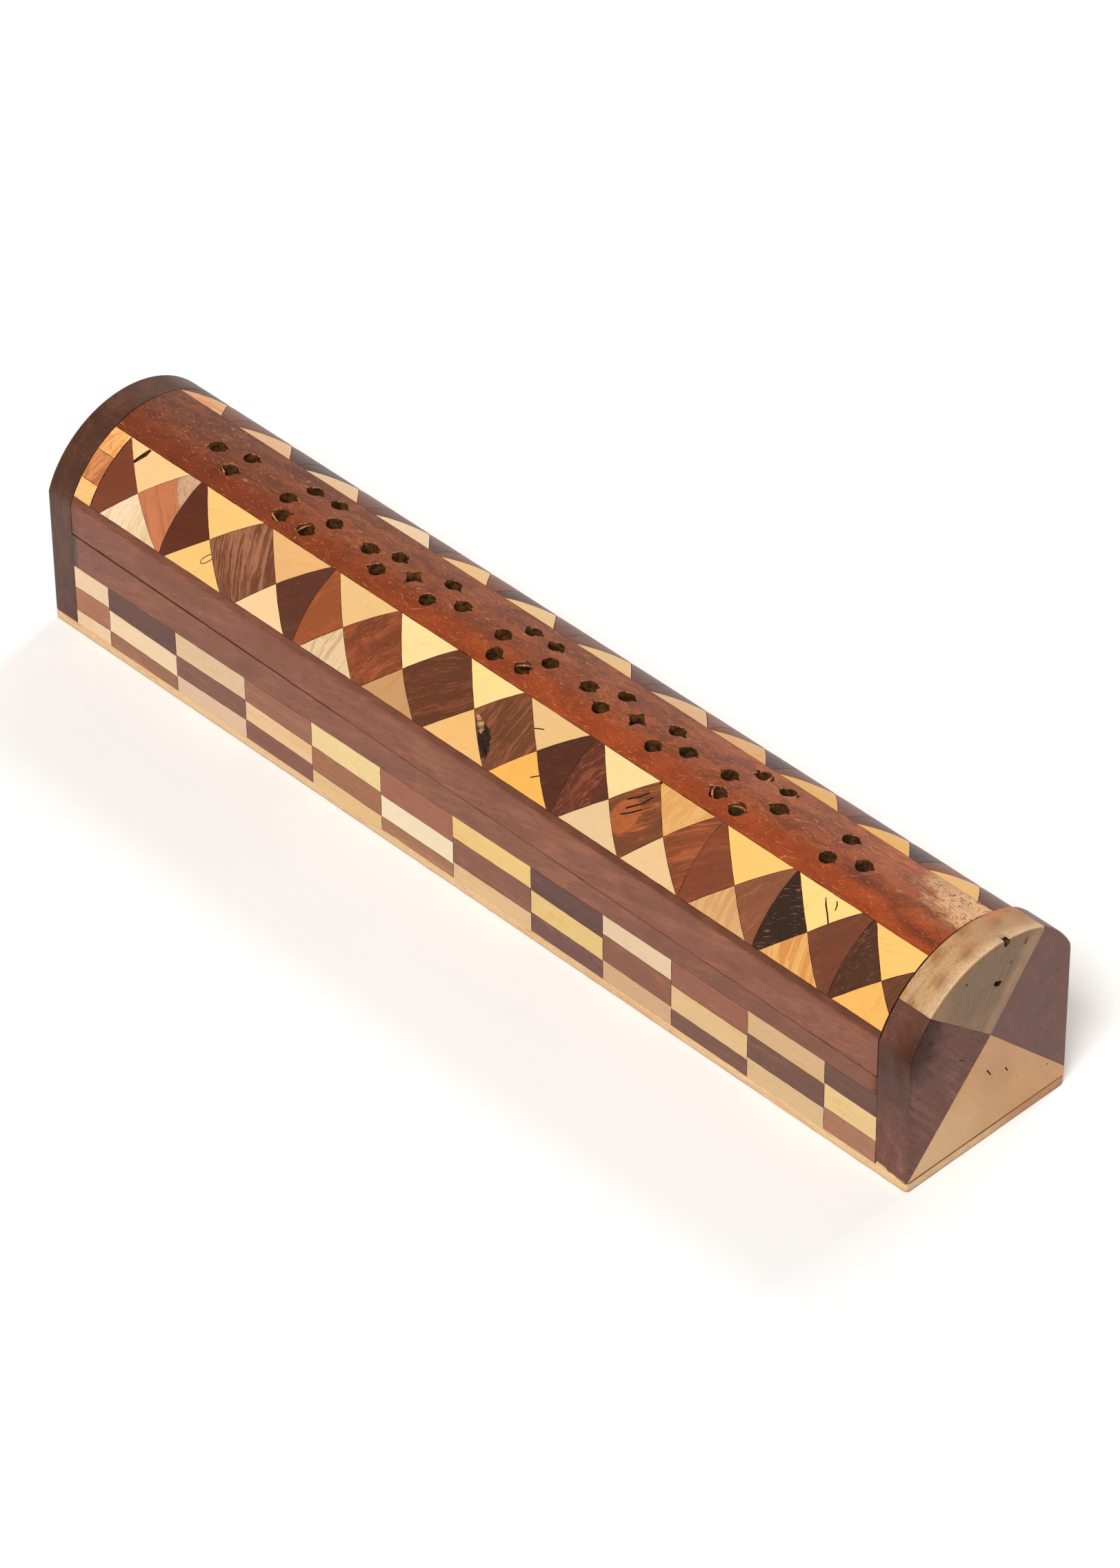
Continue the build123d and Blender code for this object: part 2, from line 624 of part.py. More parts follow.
floor_radius, rim_radius, rim_height, metal = CONE_PLATE
cone_axis = Axis((CONE_PLATE_X, 0, 0), (0, 0, 1))
upright = Plane(origin=(CONE_PLATE_X, 0, FLOOR_Z), x_dir=(1, 0, 0), z_dir=(0, -1, 0))
with BuildPart() as cone_plate:
    with BuildSketch(upright):
        draw(
            [
                (CONE_PIN[0], 0),
                (floor_radius, 0),
                (rim_radius, rim_height - metal / 2),
                (rim_radius - metal / 2, rim_height),
                (floor_radius - metal / 2, metal),
                (CONE_PIN[0], metal),
            ]
        )
    revolve(axis=cone_axis)
save(cone_plate, "cone_plate")

shank, head, head_height, depth = CONE_PIN
with BuildPart() as cone_plate_pin:
    with Locations((CONE_PLATE_X, 0, FLOOR_Z - depth)):
        Cylinder(shank, depth + metal, align=(Align.CENTER, Align.CENTER, Align.MIN))
    with Locations((CONE_PLATE_X, 0, FLOOR_Z + metal)):
        Cylinder(head, head_height, align=(Align.CENTER, Align.CENTER, Align.MIN))
    fillet(cone_plate_pin.edges().sort_by(Axis.Z)[-1], head_height * 0.9)
save(cone_plate_pin, "cone_plate_pin")
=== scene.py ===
import random
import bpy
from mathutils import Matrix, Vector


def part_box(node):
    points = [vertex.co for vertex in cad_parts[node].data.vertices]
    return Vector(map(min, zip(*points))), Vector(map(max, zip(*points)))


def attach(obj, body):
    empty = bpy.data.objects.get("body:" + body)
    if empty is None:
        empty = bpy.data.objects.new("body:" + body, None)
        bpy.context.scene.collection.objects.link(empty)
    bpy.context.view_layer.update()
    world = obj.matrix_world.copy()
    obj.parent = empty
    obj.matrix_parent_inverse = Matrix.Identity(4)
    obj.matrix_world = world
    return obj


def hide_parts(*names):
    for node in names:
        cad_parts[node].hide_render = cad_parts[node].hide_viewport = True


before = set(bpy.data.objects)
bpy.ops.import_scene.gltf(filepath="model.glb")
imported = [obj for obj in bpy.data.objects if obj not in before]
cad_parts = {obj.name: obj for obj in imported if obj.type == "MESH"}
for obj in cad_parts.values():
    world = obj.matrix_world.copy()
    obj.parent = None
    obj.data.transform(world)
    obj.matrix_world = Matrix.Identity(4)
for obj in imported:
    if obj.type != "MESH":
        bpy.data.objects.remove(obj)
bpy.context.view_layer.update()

import zlib
from math import atan2, ceil, cos, dist, hypot, pi, radians, sin, sqrt

import bmesh
import bpy
from mathutils import Matrix, Vector

# An incense box of dark and pale woods. Lengths here are in millimetres and become metres when a
# mesh is made. X runs along the box, -Y is its front and +Z is up, as in the CAD frame.
MM = 0.001
scene = bpy.context.scene


def box_mm(node):
    """((x0, x1), (y0, y1), (z0, z1)) of a CAD node, in millimetres."""
    low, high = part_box(node)
    return [(low[i] / MM, high[i] / MM) for i in range(3)]


# ---- places taken from the frame
BASE_X, BASE_Y, _ = box_mm("base_plate")
FAR_X = box_mm("far_end_block")[0]
NEAR_X = box_mm("near_end_bottom_wedge")[0]
WALL_X, WALL_Y, WALL_Z = box_mm("front_wall")
LID_X, _, LID_Z = box_mm("lid_core")
CROWN_Z = box_mm("lid_top_strip")[2][1]
HALF_WIDTH = -WALL_Y[0]
FLOOR_Z, SEAM_Z = WALL_Z
INNER_Y = -WALL_Y[1]
CROWN_RADIUS = 29.5
ARCH_Z = CROWN_Z - CROWN_RADIUS
INLAY = 3.0
CORE_RADIUS = CROWN_RADIUS - INLAY
CORE_THICKNESS = 4.0  # of the lid's core, between its inlay and its hollow
HOLLOW_RADIUS = CORE_RADIUS - CORE_THICKNESS
STRIP_EDGE = 11.3  # crown line to the edge of the top strip, along the arch
PANEL_EDGE = 32.6  # crown line to the lower edge of a panel, along the arch
VENT_RADIUS = 2.15
GLUE = 0.06  # gap between neighbouring pieces
FACET = 1.6  # width of the flat strips that follow the lid's arch


def srgb(r, g, b):
    """Linear colour of a display colour given as 0 to 255."""
    shares = (r / 255, g / 255, b / 255)
    return tuple(v / 12.92 if v <= 0.04045 else ((v + 0.055) / 1.055) ** 2.4 for v in shares)


def seed_of(name):
    return zlib.crc32(name.encode()) % 9973


def arch(s, radius=CROWN_RADIUS):
    """(y, z) at arc length s from the crown, measured on the lid's surface."""
    return radius * sin(s / CROWN_RADIUS), ARCH_Z + radius * cos(s / CROWN_RADIUS)


# ---- node materials
class Graph:
    """Adds nodes to a material in few words."""

    def __init__(self, name):
        self.material = bpy.data.materials.new(name)
        self.material.use_nodes = True
        self.tree = self.material.node_tree
        self.tree.nodes.clear()

    def add(self, kind, *inputs, out=0, **props):
        """A new node's output. A prop that starts with in_ is an input by its name."""
        node = self.tree.nodes.new("ShaderNode" + kind)
        named = {k[3:].replace("_", " "): v for k, v in props.items() if k.startswith("in_")}
        for key, value in props.items():
            if not key.startswith("in_"):
                setattr(node, key, value)
        for key, value in [*enumerate(inputs), *named.items()]:
            if isinstance(value, bpy.types.NodeSocket):
                self.tree.links.new(value, node.inputs[key])
            elif value is not None:
                node.inputs[key].default_value = value
        return node.outputs[out] if out is not None else node

    def plus(self, first, *others):
        for other in others:
            first = self.add("Math", first, other, operation="ADD")
        return first

    def minus(self, a, b):
        return self.add("Math", a, b, operation="SUBTRACT")

    def times(self, a, b):
        return self.add("Math", a, b, operation="MULTIPLY")

    def vector(self, operation, a, b):
        return self.add("VectorMath", a, b, operation=operation)

    def tone(self, colour, factor):
        return self.add("VectorMath", colour, in_Scale=factor, operation="SCALE")

    def stretch(self, vector, along, across):
        return self.vector("MULTIPLY", vector, (along, across, across))

    def millimetres(self):
        """The place in the piece's own frame, in mm."""
        return self.stretch(self.add("TexCoord", out=3), 1000, 1000)

    def attribute(self, name, out=1):
        return self.add("Attribute", attribute_name=name, out=out)

    def parts(self, vector):
        return self.add("SeparateXYZ", vector, out=None).outputs

    def noise(self, vector, scale=1.0, detail=2.0, rough=0.5, out=0):
        inputs = dict(in_Vector=vector, in_Scale=scale, in_Detail=detail, in_Roughness=rough)
        return self.add("TexNoise", out=out, **inputs)

    def figure(self, place, along, across, detail, rough=0.5, out=0):
        """Noise drawn out along the grain."""
        return self.noise(self.stretch(place, along, across), 1.0, detail, rough, out)

    def ramp(self, value, low, high, to_low=0.0, to_high=1.0):
        return self.add("MapRange", value, low, high, to_low, to_high, interpolation_type="SMOOTHSTEP")

    def mix(self, share, a, b):
        return self.add("Mix", share, *[None] * 5, a, b, data_type="RGBA", out=2)

    def bump(self, height, distance, strength, below=None):
        inputs = dict(in_Height=height, in_Distance=distance, in_Strength=strength, in_Normal=below)
        return self.add("Bump", **inputs)

    def finish(self, colour, roughness, normal=None, **inputs):
        inputs |= dict(in_Base_Color=colour, in_Roughness=roughness, in_Normal=normal)
        self.add("OutputMaterial", self.add("BsdfPrincipled", **inputs), out=None)
        return self.material


def wood(name, roughness=0.46, coat=0.05, level=0.27, fixed=None):
    """Timber whose colours and figure come from each piece's own attributes, or from fixed.

    grain is the place in the timber in mm, along and across the grain. tint and tint2 are its two
    colours. look holds the strength of the streaks, the share of tint2 and the waviness of the
    grain. marks holds the dark pores, the pale flecks and the broad mottling. spot is the way from
    the middle of a patch of sapwood or a knot, in patch radii, and how specked the patch is."""
    g = Graph(name)
    if fixed:
        grain = g.millimetres()
        tint, tint2, (streak, share, wave), (pores, flecks, mottling) = fixed
    else:
        grain = g.attribute("grain")
        tint, tint2 = g.attribute("tint", 0), g.attribute("tint2", 0)
        streak, share, wave = g.parts(g.attribute("look"))
        pores, flecks, mottling = g.parts(g.attribute("marks"))
    middle = (0.5, 0.5, 0.5)
    broad = g.vector("SUBTRACT", g.noise(grain, 0.10, 2, out=1), middle)
    close = g.vector("SUBTRACT", g.figure(grain, 0.35, 0.7, 1, out=1), middle)
    bend = g.vector("ADD", g.stretch(broad, 0, 9), g.stretch(close, 0, 1.3))
    place = g.vector("ADD", grain, g.tone(bend, wave))
    coarse = g.figure(place, 0.020, 0.42, 4, 0.62)
    fine = g.figure(place, 0.055, 2.3, 3, 0.6)
    mottle = g.figure(place, 0.10, 0.17, 3, 0.55)
    pore = g.ramp(g.figure(place, 0.34, 4.4, 1, 0.4), 0.60, 0.68)
    aside = g.vector("ADD", g.stretch(place, 0.26, 3.2), (31.0, 17.0, 5.0))
    fleck = g.ramp(g.noise(aside, 1.0, 2), 0.62, 0.70)
    blend = g.plus(g.times(coarse, 0.45), g.times(mottle, 0.2), g.times(fine, 0.35))
    edge = g.minus(0.66, g.times(share, 0.32))
    body = g.mix(g.ramp(g.minus(blend, edge), -0.045, 0.045), tint, tint2)
    lines = g.times(g.minus(g.plus(g.times(coarse, 0.9), fine), 0.95), streak)
    clouds = g.times(g.minus(mottle, 0.5), mottling)
    value = g.plus(lines, clouds, 1.0)
    open_pore = g.times(pore, pores)
    colour = g.tone(body, value)
    colour = g.mix(open_pore, colour, g.tone(colour, 0.42))
    colour = g.mix(g.times(fleck, flecks), colour, (*srgb(190, 128, 92), 1))
    if not fixed:
        away_a, away_b, specked = g.parts(g.attribute("spot"))
        away = g.plus(g.times(away_a, away_a), g.times(away_b, away_b))
        away = g.add("Math", away, operation="SQRT")
        away = g.plus(away, g.times(g.minus(mottle, 0.5), 1.1), g.times(g.minus(fine, 0.5), 0.5))
        inside = g.minus(1.0, g.ramp(away, 0.84, 1.12))
        specks = g.times(g.ramp(g.figure(place, 0.8, 1.6, 2, 0.6), 0.56, 0.62), specked)
        patch = g.tone(g.attribute("spot_tint", 0), value)
        colour = g.mix(inside, colour, g.mix(specks, patch, (*srgb(110, 62, 42), 1)))
    bump = g.bump(g.noise(grain, 0.16, 1), 0.00035, 0.5)
    bump = g.bump(g.minus(g.times(fine, 0.35), g.times(open_pore, 0.9)), 0.00004, 0.6, bump)
    rough = g.plus(g.times(fine, 0.16), roughness - 0.08, g.times(pore, 0.12))
    return g.finish(colour, rough, bump, in_Coat_Weight=coat, in_Coat_Roughness=0.25, in_IOR=1.5,
                    in_Specular_IOR_Level=level)


def metal(name, light, dark, roughness):
    """Drawn and lightly tumbled metal, duller in patches."""
    g = Graph(name)
    place = g.millimetres()
    cloud = g.noise(place, 0.35, 4, 0.6)
    drawn = g.figure(place, 0.25, 4.0, 3, 0.6)
    pits = g.ramp(g.noise(place, 3.2, 2), 0.60, 0.72)
    colour = g.mix(g.ramp(cloud, 0.35, 0.75), (*light, 1), (*dark, 1))
    colour = g.mix(g.times(pits, 0.35), colour, (*[c * 0.35 for c in dark], 1))
    rough = g.plus(g.times(drawn, 0.25), g.times(cloud, 0.2), roughness - 0.22)
    bump = g.bump(g.minus(drawn, pits), 0.00003, 0.5)
    return g.finish(colour, rough, bump, in_Metallic=1.0)


def plain_rough(name, low, high, scale, roughness=0.85):
    """A dull surface between two colours: glue, painted shade inside holes and dents, or torn fibres."""
    g = Graph(name)
    place = g.millimetres()
    cloud = g.noise(place, scale, 3)
    colour = g.mix(g.ramp(cloud, 0.35, 0.65), (*srgb(*low), 1), (*srgb(*high), 1))
    bump = g.bump(g.noise(place, scale * 4, 2), 0.00005, 0.6)
    rough = g.ramp(cloud, 0.3, 0.7, roughness - 0.1, roughness + 0.05)
    return g.finish(colour, rough, bump, in_Specular_IOR_Level=0.2)


WOOD = wood("lacquered_wood")
DULL_WOOD = wood("dull_lacquered_wood", coat=0.0, level=0.10)  # where a dark stain has taken the lacquer
GLUE_LINE = plain_rough("glue_line", (58, 30, 16), (104, 60, 34), 0.5, 0.7)
# painted shade: the dark brown of the walls inside vents, dents and chips
HOLE_SHADE = plain_rough("hole_painted_shade", (50, 31, 12), (98, 60, 26), 0.8)
TORN = plain_rough("torn_fibres", (138, 78, 48), (192, 132, 92), 1.6)
BRASS = metal("brass", srgb(232, 196, 116), srgb(176, 128, 62), 0.34)
SCREW_BRASS = metal("screw_brass", srgb(206, 166, 92), srgb(126, 88, 44), 0.42)
STEEL = metal("steel", srgb(176, 176, 178), srgb(120, 116, 112), 0.42)

# ---- meshes and pieces
LIT_SHARE = 0.86  # a colour is given as it looks in the studio light, which is a little over white
# a patch is its middle, its two radii, how specked it is, its colour and its turn in degrees
NO_PATCH = (9999, 9999, 1, 1, 0, (0, 0, 0), 0)


class Timber:
    """What a piece is cut from: colours, grain direction in degrees, figure and marks."""

    def __init__(self, tint, tint2=None, angle=0, look=(0.35, 0.2, 0.3), marks=(0.3, 0.0, 0.3), seed=None,
                 patch=None, stain=None):
        self.tint = self.shade(tint)
        self.tint2 = self.shade(tint2 or [c * 0.9 for c in tint])
        self.angle, self.look, self.marks, self.seed = angle, look, marks, seed
        self.patch, self.stain = patch, stain

    @staticmethod
    def shade(tint):
        return tuple(c * LIT_SHARE for c in srgb(*tint))

    def at(self, a, b, depth):
        """The two colours at a point of the piece, with any stain, drift of colour, painted shade or painted
        highlight.
        """
        if not self.stain:
            return self.tint, self.tint2
        return [self.stain(a, b, depth, own) for own in (self.tint, self.tint2)]


def lid_flat(p):
    """(x, arc length from the crown, depth below the surface) of a point of the lid, in mm."""
    y, up = p[1], p[2] - ARCH_Z
    return p[0], CROWN_RADIUS * atan2(y, up), CROWN_RADIUS - hypot(y, up)


def toward(colour, target, share):
    """colour moved towards a display colour by a share from 0 to 1."""
    share = max(0.0, min(1.0, share))
    return tuple(c + (d - c) * share for c, d in zip(colour, Timber.shade(target)))


def washed(colour, *washes):
    """colour moved towards each display colour in turn, by the share beside it."""
    for target, share in washes:
        colour = toward(colour, target, share)
    return colour


def ease(low, high, value):
    """0 at low, 1 at high and beyond, and a soft step between."""
    t = max(0.0, min(1.0, (value - low) / (high - low)))
    return t * t * (3 - 2 * t)


def wall_flat(p):
    return p[0], p[2], HALF_WIDTH - abs(p[1])


def end_flat(p):
    return p[1], p[2], p[0]


def floor_flat(p):
    return p[0], p[1], p[2]


def turned(a, b, degrees):
    """(a, b) as it lies along axes that are turned by degrees."""
    turn = radians(degrees)
    return a * cos(turn) + b * sin(turn), b * cos(turn) - a * sin(turn)


def dress(mesh, timber, flat, name):
    """Stores the attributes the wood material reads."""
    number = timber.seed if timber.seed is not None else seed_of(name)
    shift = Vector((number * 7.31 % 913, number * 3.77 % 517, number * 1.93 % 311))
    patch_a, patch_b, radius_a, radius_b, specks, patch_tint, patch_turn = timber.patch or NO_PATCH
    kinds = {
        "FLOAT_VECTOR": ("grain", "spot", "look", "marks"),
        "FLOAT_COLOR": ("tint", "tint2", "spot_tint"),
    }
    for kind, keys in kinds.items():
        for key in keys:
            mesh.attributes.new(key, kind, "POINT")
    layer = {key: mesh.attributes[key].data for keys in kinds.values() for key in keys}
    for i, vertex in enumerate(mesh.vertices):
        a, b, depth = flat([c / MM for c in vertex.co])
        layer["grain"][i].vector = shift + Vector((*turned(a, b, timber.angle), depth))
        along, across = turned(a - patch_a, b - patch_b, patch_turn)
        layer["spot"][i].vector = along / radius_a, across / radius_b, specks
        layer["look"][i].vector, layer["marks"][i].vector = timber.look, timber.marks
        colours = (*timber.at(a, b, depth), timber.shade(patch_tint))
        for key, colour in zip(kinds["FLOAT_COLOR"], colours):
            layer[key][i].color = (*colour, 1)


def mesh_of(name, solid, material):
    """A mesh of one material from a solid's vertices and faces."""
    mesh = bpy.data.meshes.new(name)
    verts, faces = solid
    mesh.from_pydata([[c * MM for c in v] for v in verts], [], faces)
    bm = bmesh.new()
    bm.from_mesh(mesh)
    bmesh.ops.recalc_face_normals(bm, faces=bm.faces)
    bm.to_mesh(mesh)
    bm.free()
    mesh.materials.append(material)
    return mesh


def loft(loops):
    """Vertices and faces of a closed skin through loops of equal length, with flat ends."""
    size = len(loops[0])
    verts = [p for loop in loops for p in loop]
    faces = [
        [i * size + k, i * size + (k + 1) % size, (i + 1) * size + (k + 1) % size, (i + 1) * size + k]
        for i in range(len(loops) - 1)
        for k in range(size)
    ]
    faces.append(list(range(size)))
    faces.append([(len(loops) - 1) * size + k for k in reversed(range(size))])
    return verts, faces


def joined(solids):
    """Vertices and faces of several skins, each given by its loops."""
    verts, faces = [], []
    for loops in solids:
        v, f = loft(loops)
        faces += [[i + len(verts) for i in face] for face in f]
        verts += v
    return verts, faces


def cut(mesh, cutter_mesh):
    """mesh less the closed solids of cutter_mesh, as a new mesh."""
    subject = bpy.data.objects.new("subject", mesh)
    cutter = bpy.data.objects.new("cutter", cutter_mesh)
    for o in (subject, cutter):
        scene.collection.objects.link(o)
    step = subject.modifiers.new("cut", "BOOLEAN")
    step.object, step.operation, step.solver = cutter, "DIFFERENCE", "EXACT"
    step.material_mode = "TRANSFER"
    bpy.context.view_layer.update()
    result = bpy.data.meshes.new_from_object(subject.evaluated_get(bpy.context.evaluated_depsgraph_get()))
    for o in (subject, cutter):
        bpy.data.objects.remove(o)
    return result


def soften(obj, bevel, limit):
    """Rounds the edges that turn by more than limit degrees, bevel mm wide."""
    if bevel:
        step = obj.modifiers.new("soft_edges", "BEVEL")
        step.width, step.segments, step.limit_method = bevel * MM, 2, "ANGLE"
        step.angle_limit = radians(limit)
    step = obj.modifiers.new("even_shading", "WEIGHTED_NORMAL")
    step.keep_sharp = False


def piece(name, mesh, body, nodes, timber=None, flat=None, bevel=0.05, limit=35):
    """Makes a finished piece of the object from its mesh. flat says how timber lies in the piece."""
    if timber:
        dress(mesh, timber, flat, name)
    obj = bpy.data.objects.new(name, mesh)
    scene.collection.objects.link(obj)
    mesh.polygons.foreach_set("use_smooth", [True] * len(mesh.polygons))
    soften(obj, bevel, limit)
    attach(obj, body)
    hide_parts(*nodes)


def between(a, b, t):
    """The point at share t of the way from a to b."""
    return a[0] + (b[0] - a[0]) * t, a[1] + (b[1] - a[1]) * t


def keep_side(outline, point, normal):
    """The part of a flat outline that lies beyond point along normal."""

    def beyond(p):
        return (p[0] - point[0]) * normal[0] + (p[1] - point[1]) * normal[1]

    kept = []
    for a, b in zip(outline, outline[1:] + outline[:1]):
        da, db = beyond(a), beyond(b)
        if da >= 0:
            kept.append(a)
        if (da >= 0) != (db >= 0):
            t = da / (da - db)
            kept.append(between(a, b, t))
    return kept


def anticlockwise(outline):
    area = sum(a[0] * b[1] - a[1] * b[0] for a, b in zip(outline, outline[1:] + outline[:1]))
    return outline if area > 0 else outline[::-1]


def clean(outline, apart=0.3):
    """Drops points that repeat, and turns the outline anticlockwise."""
    kept = []
    for p in outline:
        if not kept or dist(p, kept[-1]) > apart:
            kept.append(p)
    if dist(kept[0], kept[-1]) <= apart:
        kept.pop()
    return anticlockwise(kept)


def hand_cut(outline, rng, rough=0.07, step=1.7):
    """A convex outline drawn in by half a glue gap, its sides as uneven as a hand saw leaves them."""
    outline = clean(outline)
    sides = []
    for a, b in zip(outline, outline[1:] + outline[:1]):
        long = dist(a, b)
        inward = (-(b[1] - a[1]) / long, (b[0] - a[0]) / long)
        sides.append((a, b, long, inward))
    corners = []
    for (*_, before), (corner, *_, after) in zip(sides[-1:] + sides[:-1], sides):
        bend = before[0] * after[0] + before[1] * after[1]
        reach = min(GLUE / 2 / max(0.12, (1 + bend)), 0.3)
        x, y = (before[n] + after[n] for n in (0, 1))
        corners.append((corner[0] + x * reach, corner[1] + y * reach))
    drawn = []
    for i, (a, b, long, inward) in enumerate(sides):
        start, end = corners[i], corners[(i + 1) % len(corners)]
        parts = max(1, round(long / step))
        for k in range(parts):
            x, y = between(start, end, k / parts)
            d = rng.uniform(0, rough) if k else 0
            drawn.append((x + inward[0] * d, y + inward[1] * d))
    return drawn


def slab(outline, place, depth, strip=None):
    """Mesh of a flat outline, depth thick, bent onto a surface by place(a, b, depth).
    A curved surface is cut into strips of that width across b."""
    bm = bmesh.new()
    bm.faces.new([bm.verts.new((a, b, 0)) for a, b in outline])
    if strip:
        low, high = min(b for a, b in outline), max(b for a, b in outline)
        count = ceil((high - low) / strip)
        for k in range(1, count):
            b = low + (high - low) * k / count
            geom = bm.verts[:] + bm.edges[:] + bm.faces[:]
            bmesh.ops.bisect_plane(bm, geom=geom, dist=1e-5, plane_co=(0, b, 0), plane_no=(0, 1, 0))
    made = bmesh.ops.extrude_face_region(bm, geom=bm.faces[:], use_keep_orig=True)
    for v in made["geom"]:
        if isinstance(v, bmesh.types.BMVert):
            v.co.z = depth
    for v in bm.verts:
        v.co = Vector(place(*v.co)) * MM
    bmesh.ops.remove_doubles(bm, verts=bm.verts, dist=1e-7)
    bmesh.ops.recalc_face_normals(bm, faces=bm.faces)
    mesh = bpy.data.meshes.new("slab")
    bm.to_mesh(mesh)
    bm.free()
    return mesh


def gouge(outline, place, above, depth, strip=None):
    """A slab that starts above a surface, to cut a flaw into it."""
    return slab(anticlockwise(outline), lambda a, b, d: place(a, b, d - above), depth, strip)


def on_lid(x, s, depth):
    y, z = arch(s, CROWN_RADIUS - depth)
    return x, y, z


def on_front(x, z, depth):
    return x, -HALF_WIDTH + depth, z


def on_back(x, z, depth):
    return x, HALF_WIDTH - depth, z


def on_end(y, z, depth):
    return NEAR_X[1] - depth, y, z


CRACK = (0.6, 1.4)  # where a crack's cutter starts above the surface, and its thickness


def inlay(name, outline, place, flat, timber, body, nodes, strip=None, cracks=()):
    """One let-in piece, with dark glue on its sides and along its edges."""
    mesh = slab(hand_cut(outline, random.Random(seed_of(name))), place, INLAY, strip)
    for crack in cracks:
        mesh = cut(mesh, gouge(crack, place, *CRACK, strip))
    mesh.materials.clear()
    for material in (WOOD, GLUE_LINE):
        mesh.materials.append(material)
    for face in mesh.polygons:
        face.material_index = int(0.05 < flat(face.center / MM)[2] < INLAY - 0.05)
    mesh.name = name
    piece(name, mesh, body, nodes, timber, flat)


# ---- the lid's inlay panels
# Timbers, by what they look like
def pale(r, g, b, angle=90, second=None, look=(0.10, 0.25, 0.35), marks=(0.10, 0.0, 0.10)):
    return Timber((r, g, b), second or (r * 0.97, g * 0.92, b * 0.84), angle, look, marks)


def dark(r, g, b, angle=0, second=None, look=(0.45, 0.3, 0.35), marks=(0.45, 0.15, 0.35), seed=None,
         patch=None):
    return Timber((r, g, b), second or (r * 1.12, g * 1.12, b * 1.1), angle, look, marks, seed, patch)


TOP, BOTTOM = -STRIP_EDGE, -PANEL_EDGE
